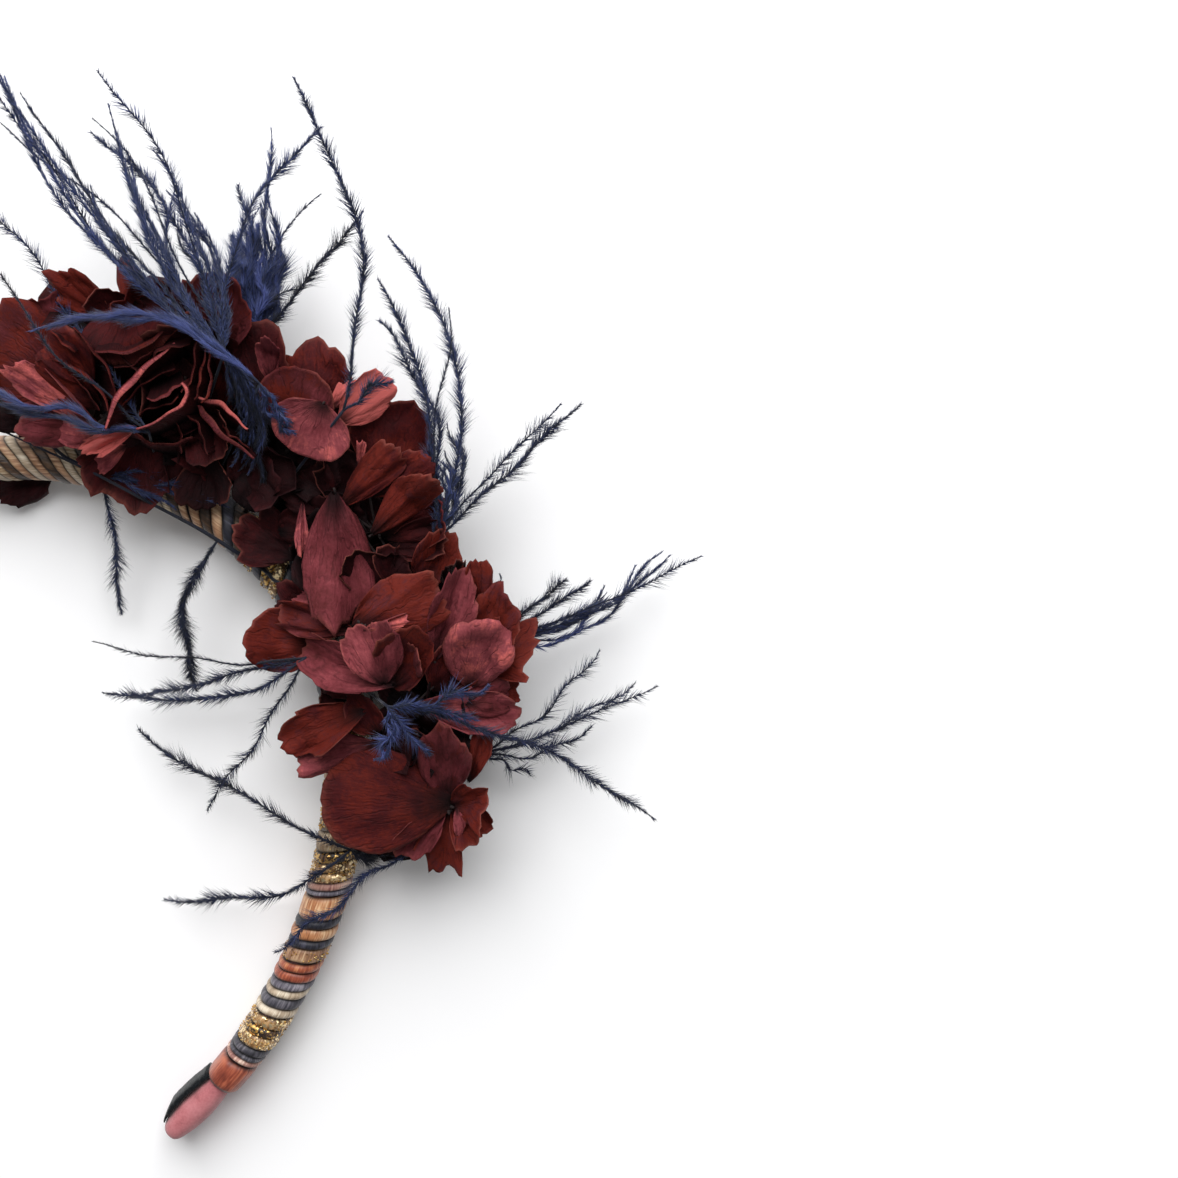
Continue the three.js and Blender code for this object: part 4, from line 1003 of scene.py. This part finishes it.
def stalkMesh(pot, place, slot, radius, **values):
    steps = stalkLook["steps"]
    foot = footOnBand(place)
    path = foot + (np.asarray(place, float) - foot) * np.linspace(0, 1, steps)[:, None]
    pot.add(*tubeMesh(path, np.full(steps, radius)), slot, None, **values)


def knotMesh(pot, place, rng):
    # a small bud of tight scales at the middle of a floret
    look = knotLook
    for k in range(look["scales"]):
        a = rng.uniform(0, 2 * math.pi)
        reach = rng.uniform(*look["reach"])
        tip = np.array([math.cos(a) * reach, math.sin(a) * reach, rng.uniform(*look["rise"])])
        path = np.asarray(place, float) + tip * np.linspace(-0.2, 1, len(look["radii"]))[:, None]
        pot.add(*tubeMesh(path, look["radii"]), 1, None, **stalkTone)


# petals packed under the others so that no gap shows, their near-black tone painted shade: reach along the
# band, outward from it and upward
undergrowth = {
    "count": 210, "from": 3, "to": 114, "inner": 7, "outer": 25, "narrowFrom": 84, "narrowTo": 108,
    "narrowBy": 0.5, "low": 8, "high": 18, "long": (9, 14), "wide": (0.8, 1.1), "rise": (0, 30),
    "swing": 75, "curl": (-25, 10), "cup": (0.1, 0.5), "rough": 1.2, "tone": (-0.05, 0.28),
    "shapes": ("fan", "torn", "round", "heart"),
}


def undergrowthRow(share, rng):
    g = undergrowth
    along = g["from"] + (g["to"] - g["from"]) * share
    outer = g["outer"] * (1 - g["narrowBy"] * float(smoothStep(along, g["narrowFrom"], g["narrowTo"])))
    base = onBand(np.array(along), rng.uniform(g["inner"], outer), rng.uniform(g["low"], g["high"]))
    outX, outY = archPoint(along)[2:]
    turn = math.atan2(outY, outX) + math.radians(rng.uniform(-g["swing"], g["swing"]))
    long, rise = rng.uniform(*g["long"]), math.radians(rng.uniform(*g["rise"]))
    flat = math.cos(rise)
    tip = base + long * np.array([math.cos(turn) * flat, math.sin(turn) * flat, math.sin(rise)])
    return (*base, *tip, long * rng.uniform(*g["wide"]), str(rng.choice(g["shapes"])),
            rng.uniform(*g["curl"]), rng.uniform(*g["cup"]), 0, g["rough"], rng.uniform(*g["tone"]))


def makeFlorets():
    materials = [preservedPetal(), driedStalk()]
    pots = {node: MeshPot() for node in florets}
    for k, (node, (place, rows)) in enumerate(florets.items()):
        rng = np.random.default_rng(seeds["floret"] + k)
        for row in rows:
            petalSheet(pots[node], row, rng)
            if row[6] > stalkLook["stemFrom"]:
                # a broad petal has its own thin stem, a narrow one is its neighbour's edge
                steps = stalkLook["stemSteps"]
                stem = tubeMesh(np.linspace(place, row[:3], steps), np.full(steps, stalkLook["stem"]),
                                stalkLook["stemSides"])
                pots[node].add(*stem, 1, None, **stalkTone)
        stalkMesh(pots[node], place, 1, stalkLook["floret"], **stalkTone)
        knotMesh(pots[node], place, rng)
    rng = np.random.default_rng(seeds["bloom"])
    for row in bloomFolds:
        bloomFold(pots["crown_bloom"], row, rng)
    rng = np.random.default_rng(seeds["undergrowth"])
    middles = np.array([place for place, rows in florets.values()])
    for k in range(undergrowth["count"]):
        row = undergrowthRow((k + 0.5) / undergrowth["count"], rng)
        nearest = int(np.argmin(np.linalg.norm(middles[:, :2] - row[:2], axis=1)))
        petalSheet(pots[list(florets)[nearest]], row, rng, 2)
    for node, pot in pots.items():
        settle(pot.piece(pieceName(node), materials), node)


makeFlorets()
print("florets made")


# fronds: dyed ostrich feather

# dyed ostrich: dark quill, soft matt barbs from ink navy to violet blue
def dyedOstrich():
    material, tree = newMaterial("dyedOstrichFeather")
    tone = addNode(tree, "Attribute", {"attribute_name": "tone"}).outputs["Fac"]
    spot = addNode(tree, "TexCoord").outputs["Object"]
    patch = addNode(tree, "TexNoise", {"Scale": 1 / (3 * mm), "Detail": 3}, {"Vector": spot})
    blend = addNode(tree, "Math", {"operation": "MULTIPLY_ADD", 1: 0.3}, {0: patch, 2: tone})
    colour = addNode(tree, "ValToRGB", None, {"Fac": blend})
    setRamp(colour, [(0.1, "#04050a"), (0.35, "#0e152b"), (0.62, "#1b274c"), (0.85, "#2c3969"),
                     (1.0, "#46518a")])
    bump = addNode(tree, "Bump", {"Strength": 0.3, "Distance": 0.1 * mm}, {"Height": patch})
    finishMaterial(tree, {"Roughness": 0.7, "Sheen Weight": 0.1, "Specular IOR Level": 0.3},
                   {"Base Color": colour, "Normal": bump})
    return material


frondLook = {
    "quillRoot": 0.34, "quillTip": 0.13, "steps": 40, "sway": 0.4, "bare": 0.03, "bunchEvery": 0.55,
    "bunch": 0.3, "leanVary": 0.25, "longVary": (0.45, 1.15), "wideVary": (0.75, 1.2), "droop": 0.05,
    "toneVary": 0.1, "quillTone": 0.4, "quillSides": 5,
}
# how far a loose strand strays from its frond
strandVary = {"heading": 3.5, "reach": (0.55, 1.0), "bow": 1.5, "lift": 2, "tone": 0.12}

# barbs of a frond: distance between them, length, lean from the quill, radius at the root, spread around
# the quill, share of the quill's thickness, and how many looser strands go with it; single barbs are
# 0.05 mm thick, drawn thicker to show
frondStyles = {
    "fern": {"gap": 0.2, "long": 3.5, "lean": 34, "wide": 0.105, "spread": 0.6, "quill": 0.75},
    "dense": {"gap": 0.1, "long": 3.6, "lean": 32, "wide": 0.105, "spread": 0.8, "quill": 0.85},
    "brush": {"gap": 0.035, "long": 3.6, "lean": 40, "wide": 0.1, "spread": 0.9, "quill": 0.9},
    "wire": {"gap": 0.16, "long": 1.8, "lean": 26, "wide": 0.085, "spread": 0.8, "quill": 0.7},
    "plume": {"gap": 0.13, "long": 3.0, "lean": 19, "wide": 0.105, "spread": 1.2, "quill": 0.6,
              "strands": 5},
    "ribbon": {"gap": 0.035, "long": 4.0, "lean": 14, "wide": 0.06, "spread": 1.0, "quill": 0.6},
    "fluff": {"gap": 0.09, "long": 4.2, "lean": 22, "wide": 0.1, "spread": 1.4, "quill": 0.4, "strands": 8},
    "quill": {"gap": 0.6, "long": 0.8, "lean": 18, "wide": 0.1, "spread": 1.0, "quill": 1.5},
}

# one row a frond: heading in plan, reach, bow to its left, lift of its end, hump, tone, style, and how far
# along the tuft's first frond it branches off, if it does not rise from the tuft's root
tufts = {
    "crown_spray": ((47, 24, 36), [
        (128, 74, 3, -3, 1, 0.52, "plume"), (130, 70, 4, -9, 1, 0.5, "fern"),
        (136, 64, -4, -14, 1, 0.35, "wire"), (112, 59, -4, 0, 1, 0.55, "fern"),
        (115, 53, 3, -7, 1, 0.5, "plume"), (121, 53, -3, -12, 1, 0.4, "wire"),
        (122, 51, -5, -14, 1, 0.5, "dense"), (110, 42, -3, -10, 1, 0.5, "plume"),
        (66, 48, 6, -5, 1, 0.55, "dense"), (273, 26, 4, -16, 2, 0.5, "plume"),
        (275, 19, 1, -12, 1, 0.4, "plume"), (266, 24, 4, -14, 2, 0.5, "plume"),
        (277, 31, 3, -18, 2, 0.35, "ribbon"),
    ]),
    "middle_spray": ((51, 25, 18), [
        (85, 43, -1, 4, 1, 0.6, "plume"), (65, 33, 4.5, 0, 1, 0.35, "wire"),
        (96, 32, -1, -3, 1, 0.5, "dense"), (100, 22, 1, 3, 1, 0.6, "fluff"),
        (86, 24, 0, 1, 1, 0.66, "fluff"), (73, 20, 0, 0, 1, 0.55, "fluff"), (49, 35, 0, 8, 1, 0.2, "dense"),
        (52, 14, 3, 4, 1, 0.35, "fern"),
    ]),
    "arched_frond": ((70, 12.5, 33), [
        (97, 65, -7.5, 2, 3, 0.4, "dense"), (35, 12, 0, 4, 0, 0.4, "dense"),
    ]),
    "right_spray": ((87, -15, 26), [
        (101, 54, -5, 2, 3, 0.45, "dense"), (98, 62, -10, -6, 3, 0.5, "dense"),
        (85, 48, 0, 7, 2, 0.3, "wire"), (104, 46, -7, 0, 3, 0.4, "dense"), (43, 41, 0, -4, 2, 0.3, "dense"),
        (46, 38, 1, -7, 2, 0.35, "fern"), (82, 24, -3, -3, 0, 0.4, "plume"),
    ]),
    "side_spray": ((102, -37.5, 14), [
        (23.5, 44, 0, 2, 2, 0.4, "fern"), (27, 38, -3, -3, 2, 0.5, "plume"),
        (48, 18, 1, 5, 0, 0.25, "dense"), (36, 21, 0, -2, 0, 0.3, "dense"), (100, 14, 0, 1, 0, 0.3, "wire"),
    ]),
    "lower_spray": ((96, -62, 15), [
        (22, 40, -1, 2, 2, 0.35, "fern"), (26, 36, -2, 0, 2, 0.35, "fern"),
        (41, 33, -2, -3, 2, 0.35, "fern"), (330, 12, 0, -4, 0, 0.35, "fern"),
        (12, 24, -3, -5, 1, 0.35, "fern"),
    ]),
    "petal_tuft": ((78.5, -46.5, 39), [
        (14, 21, -1, 3, 1, 0.6, "dense"), (333, 60, 5.5, -12, 3, 0.35, "dense"),
        (251, 12, 2, -3, 1, 0.8, "dense"), (262, 11, 2, -3, 1, 0.75, "dense"),
        (309, 13, 0, 0, 1, 0.6, "dense"), (350, 18, 1, 0, 1, 0.55, "dense"),
    ]),
    "inward_spray": ((60, -40, 22), [
        (178, 46, 2, -8, 1, 0.15, "wire"), (191, 44, 5, -4, 2, 0.35, "dense"),
        (196, 40, 0, -12, 1, 0.35, "dense"), (236, 42, 1, -9, 2, 0.25, "fern"),
    ]),
    "leg_spray": ((68, -83, 16.5), [
        (151, 52, 2, -8, 1, 0.2, "dense"), (198, 44, 5, -9, 2, 0.3, "dense"),
        (10, 7, 0, 1, 0, 0.2, "fluff"),
    ]),
    "crossing_frond": ((81.5, -82, 17), [
        (216, 38, 0, 0, 4, 0.45, "dense"), (60, 6, 0, 1, 0, 0.5, "dense"),
    ]),
    "hanging_fronds": ((17.5, -3, 14.6), [
        (272, 31, 1, -9, 2, 0.45, "dense"), (148, 25, 0, 2, 1, 0.25, "quill"),
        (346, 27, 1, 1, 2, 0.5, "plume"),
    ]),
    "long_quill": ((50.5, -22.5, 14.4), [
        (150.5, 61, -1.5, 4, 2, 0.12, "quill"), (311, 9, 0, 0, 0, 0.12, "quill"),
        (259, 34, -4, -6, 2, 0.25, "brush", 0.19),
    ]),
    "bloom_plume": ((54, 18, 36), [
        (166, 45, -7.5, 3, 3, 0.85, "ribbon"), (164, 42, -7, 2, 3, 0.7, "ribbon"),
        (300, 12, 0, -2, 0, 0.6, "plume"),
    ]),
    "crown_plume": ((31, 8, 32), [
        (166, 38, 0, -2, 1, 0.75, "ribbon"), (130, 48, 2, 6, 2, 0.2, "wire"),
        (169, 34, 1, -3, 1, 0.55, "ribbon"), (127, 61, -1, -12, 0, 0.5, "fern"),
    ]),
}


def frondPath(place, row, rng):
    heading, reach, bow, lift, hump = row[:5]
    t = np.linspace(0, 1, frondLook["steps"])
    swell = 4 * t * (1 - t)
    a = math.radians(heading)
    ahead = np.array([math.cos(a), math.sin(a), 0])
    left = np.array([-math.sin(a), math.cos(a), 0])
    sway = sum(rng.normal() * frondLook["sway"] * np.sin(t * f + rng.uniform(0, 6)) for f in (5, 9, 14))
    sway = sway * smoothStep(t, 0.0, 0.3)
    path = np.asarray(place, float) + reach * t[:, None] * ahead + (bow * swell + sway)[:, None] * left
    path[:, 2] += lift * t + hump * swell + 0.5 * sway
    return t, path


def frondMesh(pot, place, row, rng):
    look, style = frondLook, frondStyles[row[6]]
    tone = row[5]
    t, path = frondPath(place, row, rng)
    thick = style["quill"] * (look["quillRoot"] + (look["quillTip"] - look["quillRoot"]) * t ** 0.8)
    pot.add(*tubeMesh(path, thick, look["quillSides"]), 0, None, tone=tone * look["quillTone"])
    length = np.linalg.norm(np.diff(path, axis=0), axis=1).sum()
    count = int(length / style["gap"])
    along = np.gradient(path, axis=0)
    along /= np.linalg.norm(along, axis=1)[:, None]
    clump = rng.uniform(0, 6, 3)
    for hand in (-1, 1):
        where = np.sort(rng.uniform(look["bare"], 1.0, count))
        at, go = [np.stack([np.interp(where, t, line[:, i]) for i in range(3)], 1)
                  for line in (path, along)]
        out = np.cross(go, (0, 0, 1.0)) * -hand
        out /= np.linalg.norm(out, axis=1)[:, None]
        up = np.cross(out, go)
        roll = rng.normal(0, style["spread"], count)[:, None]
        out, up = np.cos(roll) * out + np.sin(roll) * up, np.cos(roll) * up - np.sin(roll) * out
        # barbs lean and lengthen in bunches, and are short at the root and the tip
        bunch = np.sin(where * length * look["bunchEvery"] + clump[hand]) * look["bunch"]
        lean = np.radians(style["lean"] * (1 + bunch + rng.normal(0, look["leanVary"], count)))[:, None]
        grow = np.clip(0.5 + 1.2 * where, 0, 1) * np.clip(4 * (1.05 - where), 0.3, 1) * (1 + bunch)
        long = (style["long"] * grow * rng.uniform(*look["longVary"], count))[:, None]
        tip = at + (np.cos(lean) * go + np.sin(lean) * out) * long
        tip[:, 2:] -= long * look["droop"]
        # each barb is a thin three-sided spike
        broad = np.cross(go, up)
        w = style["wide"] * rng.uniform(*look["wideVary"], count)[:, None]
        low = [at + (a * broad + b * up) * w for a, b in ((1, 0), (-0.5, 0.87), (-0.5, -0.87))]
        points = np.stack(low + [tip], 1).reshape(-1, 3)
        base = (np.arange(count) * 4)[:, None]
        tris = np.concatenate([base + np.array(f) for f in ((0, 1, 3), (1, 2, 3), (2, 0, 3), (2, 1, 0))])
        tones = np.repeat(tone + rng.normal(0, look["toneVary"], count), 4)
        pot.add(points, None, tris, 0, None, tone=tones)
    return path


def looseStrand(row, rng):
    # a neighbour of a frond: a little aside, a little shorter
    vary = strandVary
    heading, reach, bow, lift, hump, tone, style = row
    return (heading + rng.normal(0, vary["heading"]), reach * rng.uniform(*vary["reach"]),
            bow + rng.normal(0, vary["bow"]), lift + rng.normal(0, vary["lift"]), hump,
            tone + rng.normal(0, vary["tone"]), style)


def makeTufts():
    ostrich = dyedOstrich()
    for k, (node, (place, rows)) in enumerate(tufts.items()):
        rng = np.random.default_rng(seeds["tuft"] + k)
        pot = MeshPot()
        stalkMesh(pot, place, 0, stalkLook["feather"], tone=0.1)
        paths = []
        for row in rows:
            start = paths[0][int(row[7] * frondLook["steps"])] if len(row) > 7 else place
            paths.append(frondMesh(pot, start, row, rng))
            for strand in range(frondStyles[row[6]].get("strands", 0)):
                frondMesh(pot, place, looseStrand(row, rng), rng)
        settle(pot.piece(pieceName(node), [ostrich]), node)


makeTufts()
print("fronds made")


# floor, light and finish

studio = {
    "floor": 6000, "aim": (60, -20, 10), "sky": 0.22,
    "keyPlace": (10, 1040, 1020), "keySize": 1400, "keyPower": 41.0,
    "fillPlace": (420, -120, 900), "fillSize": 600, "fillPower": 0.4,
}


# white paper: smooth, matt and even
def whitePaper():
    material, tree = newMaterial("whitePaperFloor")
    finish = {"Base Color": toLinear("#f6f6f7"), "Roughness": 0.9, "Specular IOR Level": 0.1}
    finishMaterial(tree, finish, None)
    return material


def makeStudio():
    s = studio["floor"] / 2
    corners = [(-s, -s, 0), (s, -s, 0), (s, s, 0), (-s, s, 0)]
    floor = makePiece("paperFloor", corners, [np.array([[0, 1, 2, 3]])], [whitePaper()])
    for name in ("key", "fill"):
        light = bpy.data.lights.new(name + "Light", "AREA")
        light.size = studio[name + "Size"] * mm
        light.energy = studio[name + "Power"]
        lamp = bpy.data.objects.new(name + "Light", light)
        lamp.location = Vector(studio[name + "Place"]) * mm
        back = lamp.location - Vector(studio["aim"]) * mm
        lamp.rotation_euler = back.to_track_quat("Z", "Y").to_euler()
        bpy.context.scene.collection.objects.link(lamp)
    world = bpy.data.worlds.new("softRoom")
    world.use_nodes = True
    background = world.node_tree.nodes["Background"]
    background.inputs[0].default_value = (1, 1, 1, 1)
    background.inputs[1].default_value = studio["sky"]
    bpy.context.scene.world = world
    bpy.context.scene.view_settings.view_transform = "Standard"


makeStudio()
print("floor and light set")
